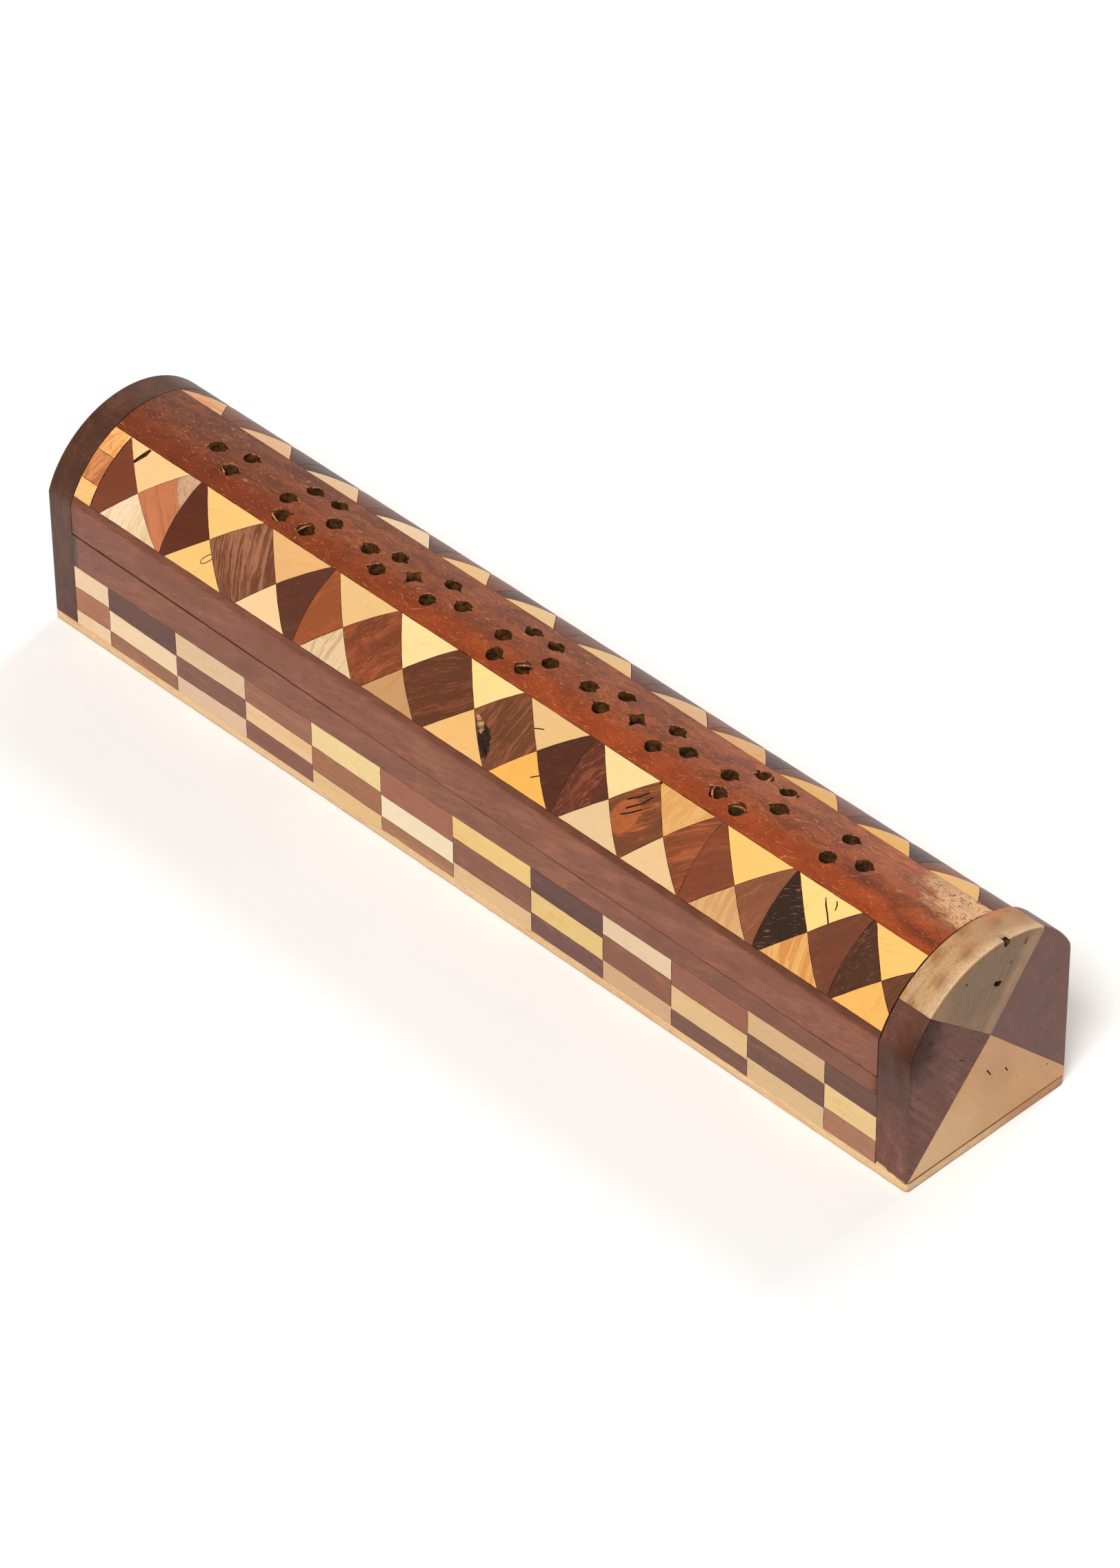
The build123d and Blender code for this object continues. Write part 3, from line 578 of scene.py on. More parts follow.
# left and right edge of the cell, where its cuts cross, the upper pale piece's ends and the lower
# one's, then the timbers: upper, lower, left, right, or None where the cell before reaches across
FRONT_CELLS = (
    (-136.8, -110.5, (-124.5, -22.7), (-137.2, -114.8), (-133.2, -112.0),
     pale(246, 202, 140), pale(247, 218, 180, 84, (224, 190, 146), (0.16, 0.45, 0.3), (0.3, 0, 0.2)),
     dark(120, 60, 34, 30, look=(0.2, 0.2, 0.3), marks=(0.15, 0.05, 0.2)),
     dark(204, 122, 78, 137, (172, 108, 74), (0.35, 0.42, 0.25), (0.35, 0.2, 0.5),
          patch=(-111.6, -13.8, 8.0, 4.4, 0.35, (204, 162, 128), -50))),
    (-110.5, -85.6, (-97.5, -22.5), (-108.3, -87.0), (-108.5, -87.6),
     pale(247, 198, 121, 20), pale(242, 195, 117, 60),
     dark(92, 40, 19, 10, look=(0.25, 0.2, 0.3), marks=(0.2, 0.05, 0.2)),
     dark(116, 64, 40, 116, (158, 102, 72), (0.42, 0.42, 0.16), (0.6, 0.35, 0.5), 21)),
    (-85.6, -60.5, (-72.7, -22.6), (-83.8, -62.1), (-82.0, -64.0),
     pale(231, 178, 116, 10), pale(244, 204, 153),
     None,
     dark(92, 47, 29, 40, look=(0.3, 0.2, 0.3), marks=(0.2, 0.1, 0.3))),
    (-60.5, -37.3, (-48.2, -22.5), (-59.0, -37.6), (-58.0, -39.2),
     pale(234, 190, 128), pale(233, 199, 156, 82, (196, 164, 118), (0.3, 0.4, 0.35), (0.3, 0, 0.2)),
     dark(152, 78, 38, 55, look=(0.25, 0.3, 0.4), marks=(0.25, 0.05, 0.3)),
     dark(130, 63, 31, 60, (152, 78, 42), (0.22, 0.40, 0.6), (0.6, 0.35, 1.0), 34)),
    (-37.3, -14.3, (-26.4, -23.0), (-36.6, -16.3), (-35.7, -17.0),
     pale(249, 218, 153, 30), pale(196, 148, 98, 70),
     None,
     dark(98, 50, 27, 38, (120, 66, 38), (0.35, 0.35, 0.3), (0.4, 0.12, 0.35), 52)),
    (-14.3, 8.3, (-1.9, -21.5), (-11.8, 7.0), (-13.6, 7.8),
     pale(249, 216, 144, 50), pale(236, 185, 114, 40),
     None,
     dark(110, 61, 34, 80, (142, 82, 50), (0.4, 0.4, 0.4), (0.45, 0.15, 0.5), 63,
          (5.0, -26.8, 4.6, 2.0, 0.4, (34, 20, 10), -56))),
    (8.3, 31.8, (20.1, -21.7), (9.4, 29.7), (9.8, 30.0),
     pale(230, 187, 128, 25), pale(240, 178, 85, 80),
     None,
     dark(80, 38, 19, 40, look=(0.4, 0.25, 0.2), marks=(0.3, 0.12, 0.3))),
    (31.8, 54.5, (45.0, -21.9), (34.6, 54.0), (33.9, 54.3),
     pale(249, 214, 150, 10), pale(227, 192, 147, 75),
     dark(96, 44, 25, 70, (130, 64, 38), (0.4, 0.35, 0.4), (0.3, 0.35, 0.4)),
     dark(120, 66, 35, 42, (172, 90, 46), (0.45, 0.35, 0.3), (0.6, 0.1, 0.5), 84,
          (51.6, -23.0, 3.6, 4.6, 0.5, (176, 92, 46), 0))),
    (54.5, 74.8, (63.8, -22.3), (53.7, 72.4), (55.2, 74.3),
     pale(228, 176, 108, 86, (216, 156, 88), (0.14, 0.5, 0.3)), pale(232, 192, 141, 60),
     None,
     dark(136, 68, 34, 40, (162, 84, 46), (0.6, 0.4, 0.12), (0.6, 0.15, 0.2))),
    (74.8, 99.6, (88.0, -22.6), (76.4, 98.4), (78.2, 97.3),
     pale(249, 197, 112, 15), pale(218, 170, 114, 86, (202, 148, 96), (0.18, 0.5, 0.25)),
     dark(128, 64, 35, 40, look=(0.3, 0.3, 0.3), marks=(0.5, 0.05, 0.35)),
     dark(136, 80, 51, 60, (150, 92, 62), (0.3, 0.3, 0.3), (0.5, 0.15, 0.3))),
    (99.6, 124.3, (111.8, -22.4), (100.3, 120.8), (101.8, 121.0),
     pale(254, 212, 130, 80), pale(230, 174, 102, 100, (208, 138, 68), (0.2, 0.5, 0.35)),
     dark(50, 28, 13, 28, (66, 38, 22), (0.4, 0.25, 0.2), (0.2, 0.45, 0.2)),
     dark(114, 60, 37, 55, look=(0.35, 0.3, 0.3), marks=(0.35, 0.1, 0.35))),
    (124.3, 149.5, (135.8, -22.4), (125.3, 147.0), (125.6, 147.0),
     pale(249, 195, 111, 12), pale(240, 180, 94, 60, (222, 152, 72), (0.12, 0.3, 0.5)),
     dark(76, 42, 23, 65, look=(0.35, 0.25, 0.4), marks=(0.3, 0.45, 0.4)),
     dark(102, 57, 31, 60, look=(0.4, 0.3, 0.3), marks=(0.5, 0.2, 0.4))),
)
BACK_EDGES = (-143.5, -124.2, -98.8, -73.3, -48.2, -26.4, -1.7, 24.7, 48.1, 69.5, 94.4, 117.9, 142.5)
BACK_UPPER = (
    (-143.6, -127.5), (-120.9, -101.7), (-95.8, -76.7), (-70.0, -50.4), (-46.0, -29.7), (-23.1, -5.8),
    (2.3, 21.3), (28.0, 47.5), (48.6, 67.3), (71.7, 91.4), (97.4, 114.7), (121.0, 137.0),
)
BACK_PALE = (
    (228, 176, 122), (230, 180, 130), (232, 190, 144), (240, 206, 166), (236, 190, 124), (234, 192, 132),
    (230, 186, 124), (222, 174, 128), (224, 166, 104), (228, 172, 90), (230, 174, 88), (234, 180, 106),
)
BACK_DARK = (
    (108, 54, 34), (94, 48, 34), (126, 62, 36), (76, 42, 32), (112, 56, 34), (70, 46, 38),
    (100, 50, 34), (122, 62, 36), (82, 44, 34), (110, 58, 38), (90, 52, 38), (118, 60, 36),
)


def cell_outlines(left, right, crossing, upper, lower, top, bottom):
    """Outlines of a cell's four pieces, from where its saw cuts meet the panel's edges."""
    shapes = {
        "upper_pale": [(upper[0], top), crossing, (upper[1], top)],
        "lower_pale": [(lower[0], bottom), (lower[1], bottom), crossing],
    }
    for quarter, edge, end, inner in (("left_dark", left, 0, max), ("right_dark", right, 1, min)):
        cuts = [(inner(edge, upper[end]), top), crossing, (inner(edge, lower[end]), bottom)]
        shapes[quarter] = [(edge, top), *cuts, (edge, bottom)]
    for quarter, shape in shapes.items():
        shape = keep_side(clean(shape), (max(left, LID_X[0]), 0), (1, 0))
        shapes[quarter] = keep_side(shape, (min(right, LID_X[1]), 0), (-1, 0))
    return shapes


def oval_line(middle, long, wide, turn, line):
    """Outline of a thin oval ring that is left open at one end, long and wide being its half sizes."""
    count, points = 14, []
    opening, sweep = 14, 332  # degrees
    for inset in (0.0, line):
        ring = []
        for k in range(count + 1):
            angle = radians(opening + sweep * k / count)
            x, y = turned((long - inset) * cos(angle), (wide - inset) * sin(angle), -turn)
            ring.append((middle[0] + x, middle[1] + y))
        points += ring[::-1] if inset else ring
    return points


# cracks, and the rim of a knot, as (x, arc length) outlines
CRACKS = {
    "lid_front_01_upper_pale": [
        [(-130.0, -11.5), (-130.9, -14.0), (-131.9, -17.3), (-131.3, -17.5), (-130.1, -15.4),
         (-129.2, -13.4), (-129.2, -11.6)],
    ],
    "lid_front_02_lower_pale": [oval_line((-95.3, -26.9), 2.5, 0.9, 50, 0.24)],
    "lid_front_07_upper_pale": [
        [(15.2, -17.6), (16.8, -16.8), (18.3, -16.2), (18.4, -16.45), (16.9, -17.1), (15.4, -17.8)],
    ],
    "lid_front_07_lower_pale": [
        [(22.0, -27.9), (24.2, -26.3), (25.5, -25.6), (25.5, -25.9), (24.3, -26.6), (22.2, -28.1)],
    ],
    "lid_front_11_upper_pale": [
        [(110.2, -13.1), (111.6, -14.8), (113.4, -16.4), (115.4, -18.4), (115.8, -18.3), (113.7, -16.1),
         (111.9, -14.5), (110.4, -13.0)],
        [(113.2, -12.4), (113.9, -13.2), (114.5, -14.6), (114.8, -14.5), (114.2, -13.0), (113.5, -12.3)],
    ],
    "lid_front_08_09_dark": [
        [(50.4, -21.2), (53.5, -18.4), (55.0, -15.6), (55.4, -15.5), (54.0, -18.4), (50.7, -21.6)],
        [(49.4, -19.3), (51.6, -17.4), (53.4, -15.2), (53.7, -15.3), (52.0, -17.6), (49.6, -19.6)],
        [(50.0, -23.2), (52.2, -21.6), (54.6, -19.4), (54.8, -19.7), (52.5, -21.9), (50.2, -23.5)],
    ],
    "lid_front_06_07_dark": [
        [(4.0, -26.0), (5.4, -27.6), (7.4, -30.0), (7.8, -29.6), (6.0, -27.2), (4.5, -25.7)],
        [(-0.7, -22.4), (0.2, -21.8), (1.4, -22.5), (2.5, -22.8), (3.7, -24.4), (3.3, -25.8), (2.5, -25.5),
         (2.0, -24.6), (1.2, -24.4), (0.5, -23.4)],
    ],
}
KNOT_RIM = CRACKS["lid_front_06_07_dark"][1]
# neighbouring cells whose dark quarters are one piece of wood
SHARED = (2, 4, 5, 6, 8)

for number, (left, right, crossing, upper, lower, *timbers) in enumerate(FRONT_CELLS, 1):
    outlines = cell_outlines(left, right, crossing, upper, lower, TOP, BOTTOM)
    for (quarter, outline), timber in zip(outlines.items(), timbers):
        if timber is None:
            continue
        name, nodes = f"lid_front_{number:02}_{quarter}", [f"lid_front_{quarter}"]
        slot = f"{quarter.split('_')[1]}_inlay_wood"
        if quarter == "right_dark" and number in SHARED:
            next_crossing, next_upper, next_lower = FRONT_CELLS[number][2:5]
            name = f"lid_front_{number:02}_{number + 1:02}_dark"
            nodes = ["lid_front_left_dark", "lid_front_right_dark"]
            outline = [crossing, (lower[1], BOTTOM), (next_lower[0], BOTTOM),
                       next_crossing, (next_upper[0], TOP), (upper[1], TOP)]
        inlay(name, outline, on_lid, lid_flat, timber, "lid", nodes, FACET, CRACKS.get(name, ()))

rim_mesh = gouge(KNOT_RIM, on_lid, -0.05, 0.7, 0.8)
rim_mesh.materials.append(WOOD)
rim_wood = Timber((206, 162, 118), (132, 86, 54), 40, (0.3, 0.5, 0.9), (0.9, 0.0, 1.0), 91)
piece("lid_front_06_07_knot_rim", rim_mesh, "lid", ["lid_front_left_dark", "lid_front_right_dark"],
      rim_wood, lid_flat)

TIMBER_STEPS = {"upper_pale": 0, "lower_pale": 5, "left_dark": 3, "right_dark": 7}  # through the lists above
for number in range(12):
    left, right = BACK_EDGES[number : number + 2]
    upper = BACK_UPPER[number]
    crossing = ((upper[0] + upper[1]) / 2 + 0.3, (STRIP_EDGE + PANEL_EDGE) / 2)
    lower = (upper[0] - 0.6, upper[1] + 0.8)
    outlines = cell_outlines(left, right, crossing, upper, lower, STRIP_EDGE, PANEL_EDGE)
    for quarter, outline in outlines.items():
        step = TIMBER_STEPS[quarter]
        if (number, quarter) == (0, "upper_pale"):
            timber = pale(*BACK_PALE[0], angle=20, second=(222, 138, 84), look=(0.15, 0.42, 0.9))
        elif quarter.endswith("pale"):
            timber = pale(*BACK_PALE[(number + step) % 12], angle=70 + 5 * (number % 5))
        else:
            timber = dark(*BACK_DARK[(number + step) % 12], angle=(number * 37 + step * 11) % 90)
        name, slot = f"lid_back_{number + 1:02}_{quarter}", f"{quarter.split('_')[1]}_inlay_wood"
        inlay(name, outline, on_lid, lid_flat, timber, "lid", [f"lid_back_{quarter}"], FACET)

FILLER = (
    ("upper", TOP, -18.6, Timber((236, 146, 76), (250, 186, 112), 60, (0.2, 0.5, 0.9), (0.3, 0, 0.5))),
    ("middle", -18.6, -26.8, Timber((188, 112, 62), (214, 140, 84), 70, (0.3, 0.4, 0.5), (0.4, 0.1, 0.3))),
    ("lower", -26.8, BOTTOM, Timber((246, 196, 124), (236, 170, 100), 30, (0.12, 0.35, 0.5), (0.15, 0, 0.3))),
)
FILLER_X = (LID_X[0], -137.0)
for name, high, low, timber in FILLER:
    outline = [(FILLER_X[0], low), (FILLER_X[1], low), (FILLER_X[1], high), (FILLER_X[0], high)]
    slot = "pale_inlay_wood" if name == "lower" else "orange_inlay_wood"
    inlay(f"lid_filler_{name}_piece", outline, on_lid, lid_flat, timber, "lid", [f"lid_filler_{name}"],
          FACET)

# ---- the walls' inlay bands
COLUMN_EDGES = (-143.5, -130.3, -104.5, -78.3, -53.5, -28.2, -2.2, 25.5, 50.5, 74.0, 99.7, 125.2, 142.2)
UPPER_JOINTS = (15.4, 14.8, 15.2, 15.2, 15.2, 14.6, 16.6, 16.4, 17.7, 16.3, 17.3, 17.9)
LOWER_JOINTS = (7.9, 7.9, 8.7, 9.0, 7.5, 7.5, 8.5, 9.1, 9.3, 8.5, 9.6, 10.2)
BAND_TOP = (22.1, 24.9)
BAND_TINTS = (
    ((238, 205, 166), (172, 110, 82), (238, 206, 168)),
    ((101, 65, 56), (242, 213, 174), (154, 103, 76)),
    ((224, 192, 152), (128, 84, 66), (224, 190, 158)),
    ((154, 100, 76), (236, 196, 150), (133, 84, 69)),
    ((239, 212, 152), (160, 104, 70), (228, 190, 132)),
    ((159, 97, 73), (245, 224, 190), (163, 112, 78)),
    ((236, 198, 124), (134, 84, 64), (224, 186, 138)),
    ((95, 60, 52), (230, 196, 126), (113, 73, 65)),
    ((230, 200, 164), (137, 84, 62), (208, 168, 128)),
    ((148, 89, 68), (226, 188, 136), (117, 77, 63)),
    ((214, 174, 128), (110, 72, 56), (218, 182, 136)),
    ((102, 66, 52), (230, 196, 138), (166, 112, 84)),
)


def band_top(x):
    return BAND_TOP[0] + (x - WALL_X[0]) / (WALL_X[1] - WALL_X[0]) * (BAND_TOP[1] - BAND_TOP[0])


for side, place in (("front", on_front), ("back", on_back)):
    for column in range(12):
        left, right = COLUMN_EDGES[column : column + 2]
        low, high = LOWER_JOINTS[column], UPPER_JOINTS[column]
        rng = random.Random(column + (50 if side == "back" else 0))
        tilt = rng.uniform(-0.25, 0.25)
        rows = {
            "top": (high - tilt, high + tilt, band_top(right), band_top(left)),
            "middle": (low - tilt, low + tilt, high + tilt, high - tilt),
            "bottom": (FLOOR_Z, FLOOR_Z, low + tilt, low - tilt),
        }
        tints = BAND_TINTS[column if side == "front" else (column + 4) % 12]
        for (row, z), tint in zip(rows.items(), tints):
            if (column % 2 == 0) == (row != "middle"):
                shade, angle = "pale", rng.uniform(-4, 4)
                timber = pale(*tint, angle, look=(0.16, 0.3, 0.25), marks=(0.2, 0, 0.15))
            else:
                shade, angle = "dark", rng.uniform(-5, 5)
                timber = dark(*tint, angle, look=(0.3, 0.25, 0.25), marks=(0.35, 0.05, 0.25))
            outline = [(left, z[0]), (right, z[1]), (right, z[2]), (left, z[3])]
            inlay(f"{side}_band_{column + 1:02}_{row}_{shade}", outline, place, wall_flat, timber, "box",
                  [f"{side}_band_{row}_{shade}"])


# ---- walls, lid core and end blocks
def rounded(profile, radii, parts=4):
    """A closed (y, z) profile whose corners are rounded, by radius for each corner."""
    done = []
    for i, (corner, radius) in enumerate(zip(profile, radii)):
        before, after = profile[i - 1], profile[(i + 1) % len(profile)]
        if not radius:
            done.append(corner)
            continue
        a, b, c = Vector(before), Vector(corner), Vector(after)
        to_a, to_c = (a - b).normalized(), (c - b).normalized()
        angle = to_a.angle(to_c)
        back = radius / max(0.2, abs(sin(angle / 2) / cos(angle / 2)))
        start, end = b + to_a * back, b + to_c * back
        for k in range(parts + 1):
            t = k / parts
            p = start * (1 - t) ** 2 + b * 2 * t * (1 - t) + end * t**2
            done.append((p.x, p.y))
    return done


def steps(low, high, size):
    count = max(1, round((high - low) / size))
    return [low + (high - low) * k / count for k in range(count + 1)]


def seam_line(x):
    """Height of the joint between lid and wall along the front, which the saw left on a slant."""
    places = ((-153, 32.6), (-80, 31.8), (-50, 31.5), (0, 31.0), (60, 30.7), (153, 30.7))
    for (x0, z0), (x1, z1) in zip(places, places[1:]):
        if x <= x1:
            return z0 + (z1 - z0) * (x - x0) / (x1 - x0)
    return places[-1][1]


def seam_gap(x):
    """Half the gap at the front, wider where the joint has opened towards the far end."""
    return 0.06 + 0.06 * ease(-10, -110, x) + 0.02 * sin(x * 0.9) + 0.02 * sin(x * 0.37)


def seam_softness(x):
    """Rounding of the seam's edges: the joint has opened a little towards the far end."""
    return 0.13 + 0.09 * ease(-10, -120, x) + 0.03 * sin(x * 0.23) + 0.03 * sin(x * 0.61)


def seam_shade_and_far_end_darkening(x, z, depth, colour):
    """Paints shade on the eased edges beside the seam, and darkens the wood next to the far block."""
    near = abs(z - seam_line(x)) if depth < 1 else 9
    colour = toward(colour, (84, 50, 42), 0.55 * ease(-140.0, -142.8, x))
    # worn is how strong the painted shade along the seam is, stronger towards the far end where the joint has
    # opened
    worn = 0.35 + 0.65 * ease(-30, -70, x) + 0.5 * ease(0.3, 0.9, sin(x * 0.11) * sin(x * 0.047 + 2))
    reach = seam_gap(x) + seam_softness(x) + 0.05
    # painted shade: dark reddish brown on the edges beside the seam, for the shade inside the joint
    return toward(colour, (84, 38, 24), min(1.0, worn) * (reach - near) / 0.15)


def wall_tone_and_seam_shade(x, z, depth, colour):
    """The walls are a little darker towards the near block, and get painted shade along the seam."""
    return seam_shade_and_far_end_darkening(x, z, depth, toward(colour, (98, 60, 44), 0.28 * ease(40, 110, x)))


RAIL = Timber((132, 80, 60), (142, 86, 64), 16, (0.18, 0.4, 0.3), (0.35, 0.06, 0.55), 401, stain=wall_tone_and_seam_shade)
RABBET_Y = HALF_WIDTH - INLAY

for side, node in ((-1, "front_wall"), (1, "back_wall")):
    loops = []
    for x in steps(*WALL_X, 3.0):
        soft = seam_softness(x)
        top = seam_line(x) - seam_gap(x) if side < 0 else SEAM_Z
        profile = [
            (RABBET_Y, FLOOR_Z), (INNER_Y, FLOOR_Z), (INNER_Y, top), (HALF_WIDTH, top),
            (HALF_WIDTH, top - soft - 0.25), (HALF_WIDTH, band_top(x)), (RABBET_Y, band_top(x)),
        ]
        loop = rounded(profile, (0, 0, 0.3, soft, 0, 0.07, 0), 3)
        loops.append([(x, side * y, z) for y, z in loop])
    mesh = mesh_of(node, loft(loops), WOOD)
    piece(f"{node}_board", mesh, "box", [node], RAIL, wall_flat, bevel=0)

STAR = 6
# middle of each cluster, and its holes: x from there, y, and how many sides are torn, or STAR
VENTS = (
    (-110.0, ((-6.5, 0, 4), (3, 3, 1), (2.5, -4, 4))),
    (-80.5, ((-8, -1.5, 1), (-5.5, 5.5, 2), (3, 6, 2), (-5, -7, 3), (4, -6.5, 4), (8, -0.5, 3))),
    (-43.0, ((-16, -1, 4), (-8, 2, 2), (-9, -5, 2), (0, -1, STAR), (9, 4, 2), (8.5, -4.5, 1), (17, -0.5, 3))),
    (-3.0, ((-8, -1, 2), (-4, 5.5, 2), (4, 5.5, 3), (-5, -7, 1), (4, -6, 3), (8, -0.5, 1))),
    (35.0, ((-17, 0, 4), (-8, 4, 3), (-9.5, -3.5, 2), (0, -0.5, STAR), (10, 3.5, 2), (9.5, -4.5, 1),
            (17.5, -0.5, 3))),
    (74.0, ((-8.5, 0.5, 2), (-3, 7, 4), (5.5, 6.5, 3), (-6.5, -5.5, 3), (1, -6.5, 3), (8.5, 0, 3))),
    (105.0, ((-3, 4.5, 1), (-2.5, -4, 1), (6, -0.5, 3))),
)


def vent_rings(x, y, torn_sides, rng):
    """A drilled hole: round below, and torn out along the grain at the surface."""
    sides = 40
    torn = [rng.uniform(0, 0.10) for _ in range(sides)]
    star = torn_sides == STAR
    for k in range(4 if star else torn_sides):
        if star:
            heading, reach, width = k * pi / 2 + rng.uniform(-0.2, 0.2), rng.uniform(1.5, 2.2), 0.52
        else:
            heading = (0, pi, 0.5, -2.4)[k] + rng.uniform(-0.3, 0.3)
            reach, width = rng.uniform(0.7, 1.8), rng.uniform(0.24, 0.40)
        for i in range(sides):
            off = abs((i * 2 * pi / sides - heading + pi) % (2 * pi) - pi)
            torn[i] = max(torn[i], reach * max(0.0, 1 - off / width) ** (1.5 if star else 1.2))
    surface = ARCH_Z + sqrt(CROWN_RADIUS**2 - y**2)
    rings = []
    for z, share, radius in (
        (ARCH_Z + HOLLOW_RADIUS * 0.8, 0.0, VENT_RADIUS),
        (surface - 1.3, 0.0, VENT_RADIUS),
        (surface - 0.7, 0.35, VENT_RADIUS),
        (surface - 0.15, 0.9, VENT_RADIUS + 0.03),
        (surface + 1.6, 1.25, VENT_RADIUS + 0.12),
    ):
        ring = []
        for i in range(sides):
            r = radius - (0.4 if star else 0.0) + torn[i] * share
            turn = i * 2 * pi / sides
            sunk = 0.25 * max(0.0, r - radius) * (0 < share < 1.2)
            ring.append((x + r * cos(turn), y + r * sin(turn), z - sunk))
        rings.append(ring)
    return rings


def plain_ring(x, y, z, sides=28):
    turns = [2 * pi * k / sides for k in range(sides)]
    return [(x + VENT_RADIUS * cos(turn), y + VENT_RADIUS * sin(turn), z) for turn in turns]


vent_rng = random.Random(7)
vents = [(cx + dx, dy, torn_sides) for cx, holes in VENTS for dx, dy, torn_sides in holes]
# the vents' walls carry painted shade
torn_holes = mesh_of("torn_holes", joined(vent_rings(*vent, vent_rng) for vent in vents), HOLE_SHADE)
through = (SEAM_Z + 12, CROWN_Z)
plain_holes = joined([plain_ring(x, y, z) for z in through] for x, y, torn_sides in vents)
plain_holes = mesh_of("plain_holes", plain_holes, HOLE_SHADE)


def splinter(x, y, radius, start, end, count=9):
    """Torn fibres curled inside the vent at x, y and held by its wall at both ends: arc radius in mm,
    and the directions where it starts and ends in degrees."""
    top = ARCH_Z + sqrt(CROWN_RADIUS**2 - y**2) - 0.12
    loops = []
    for k in range(count + 1):
        t = k / count
        turn = radians(start + (end - start) * t)
        wide = 0.10 + 0.22 * sin(pi * min(1.0, t * 1.2))
        drop = 0.5 * t
        held = radius + (VENT_RADIUS + 0.1 - radius) * (1 - sin(pi * t))
        loops.append([
            (x + cos(turn) * (held + a * wide), y + sin(turn) * (held + a * wide), top - drop - b * 0.45)
            for a, b in ((-1, 0), (1, 0), (0.7, 1), (-0.7, 1))
        ])
    return loops


SPLINTERS = (
    (67.5, -5.5, 1.35, 150, 300), (75.0, -6.5, 1.45, 20, 170), (71.0, 7.0, 1.4, -60, 80),
    (79.5, 6.5, 1.3, -130, 60), (-85.5, -7.0, 1.6, 190, 320), (-76.5, -6.5, 1.5, 100, 230),
    (1.0, -6.0, 1.4, 60, 180), (-107.5, -4.0, 1.6, 200, 280), (-7.0, 5.5, 1.55, -70, 20),
)
mesh = mesh_of("vent_splinters", joined(splinter(*spec) for spec in SPLINTERS), TORN)
piece("vent_splinters", mesh, "lid", ["lid_top_strip"], limit=50)

# top strip, one long batten with its grain lengthways
loops = []
for x in steps(*LID_X, 4.0):
    sway = 0.06 * sin(x * 0.31) + 0.05 * sin(x * 0.83 + 1)
    edge = STRIP_EDGE - GLUE / 2 - 0.04
    top = [arch(s) for s in steps(sway - edge, edge + sway * 0.6, 0.8)]
    under = [arch(s, CORE_RADIUS + 0.01) for s in steps(-STRIP_EDGE + 0.1, STRIP_EDGE - 0.1, 2.4)]
    loops.append([(x, y, z) for y, z in top + under[::-1]])
strip_mesh = mesh_of("lid_top_strip", loft(loops), WOOD)
strip_mesh = cut(strip_mesh, torn_holes)
strip_mesh.materials.append(TORN)
scuff = gouge(oval_line((-127.6, -1.2), 2.1, 0.7, 80, 0.26), on_lid, 0.6, 0.75, 0.8)
scuff.materials.append(TORN)
strip_mesh = cut(strip_mesh, scuff)
# vent walls keep the painted shade below the rim; faces near the surface become torn fibres
hole_shade_index = list(strip_mesh.materials).index(HOLE_SHADE)
for face in strip_mesh.polygons:
    if face.material_index == hole_shade_index and lid_flat(face.center / MM)[2] < 0.2:
        face.material_index = len(strip_mesh.materials) - 1


def strip_drift(x, s, depth, colour):
    """The strip is painted redder on its front slope, where it reflects less light than the crown, paler near
    +X, and crossed there by a dark streak.
    """
    # painted reflection: the front slope, and a little the crown, made redder where they reflect little light
    colour = toward(colour, (148, 60, 16), 0.8 * ease(-2.5, -7.0, s))
    colour = toward(colour, (148, 60, 16), 0.16 * ease(5.0, 1.0, s))
    light = 0.69 + 0.39 * ease(-160, 70, x) + 0.3 * ease(4, 9, s) * ease(20, 100, x)
    light *= 1 - 0.08 * ease(-30, -90, x) * ease(-2.5, -7.0, s) - 0.07 * ease(25, 50, x) * ease(90, 65, x)
    colour = tuple(c * light for c in colour)
    streak = abs(s + 3.2 + (x - 112) * 0.19 + 0.8 * sin(x * 0.3))
    return toward(colour, (92, 40, 20), 0.6 * ease(1.9, 0.4, streak) * ease(98, 112, x))


STRIP_WOOD = Timber((121, 58, 28), (143, 74, 38), 4, (0.48, 0.48, 0.95), (0.35, 0.6, 0.85), 500,
                    (148.0, 13.0, 26.0, 15.0, 0.9, (212, 162, 116), 0), strip_drift)
piece("lid_top_batten", strip_mesh, "lid", ["lid_top_strip"], STRIP_WOOD, lid_flat, 0.08, 60)

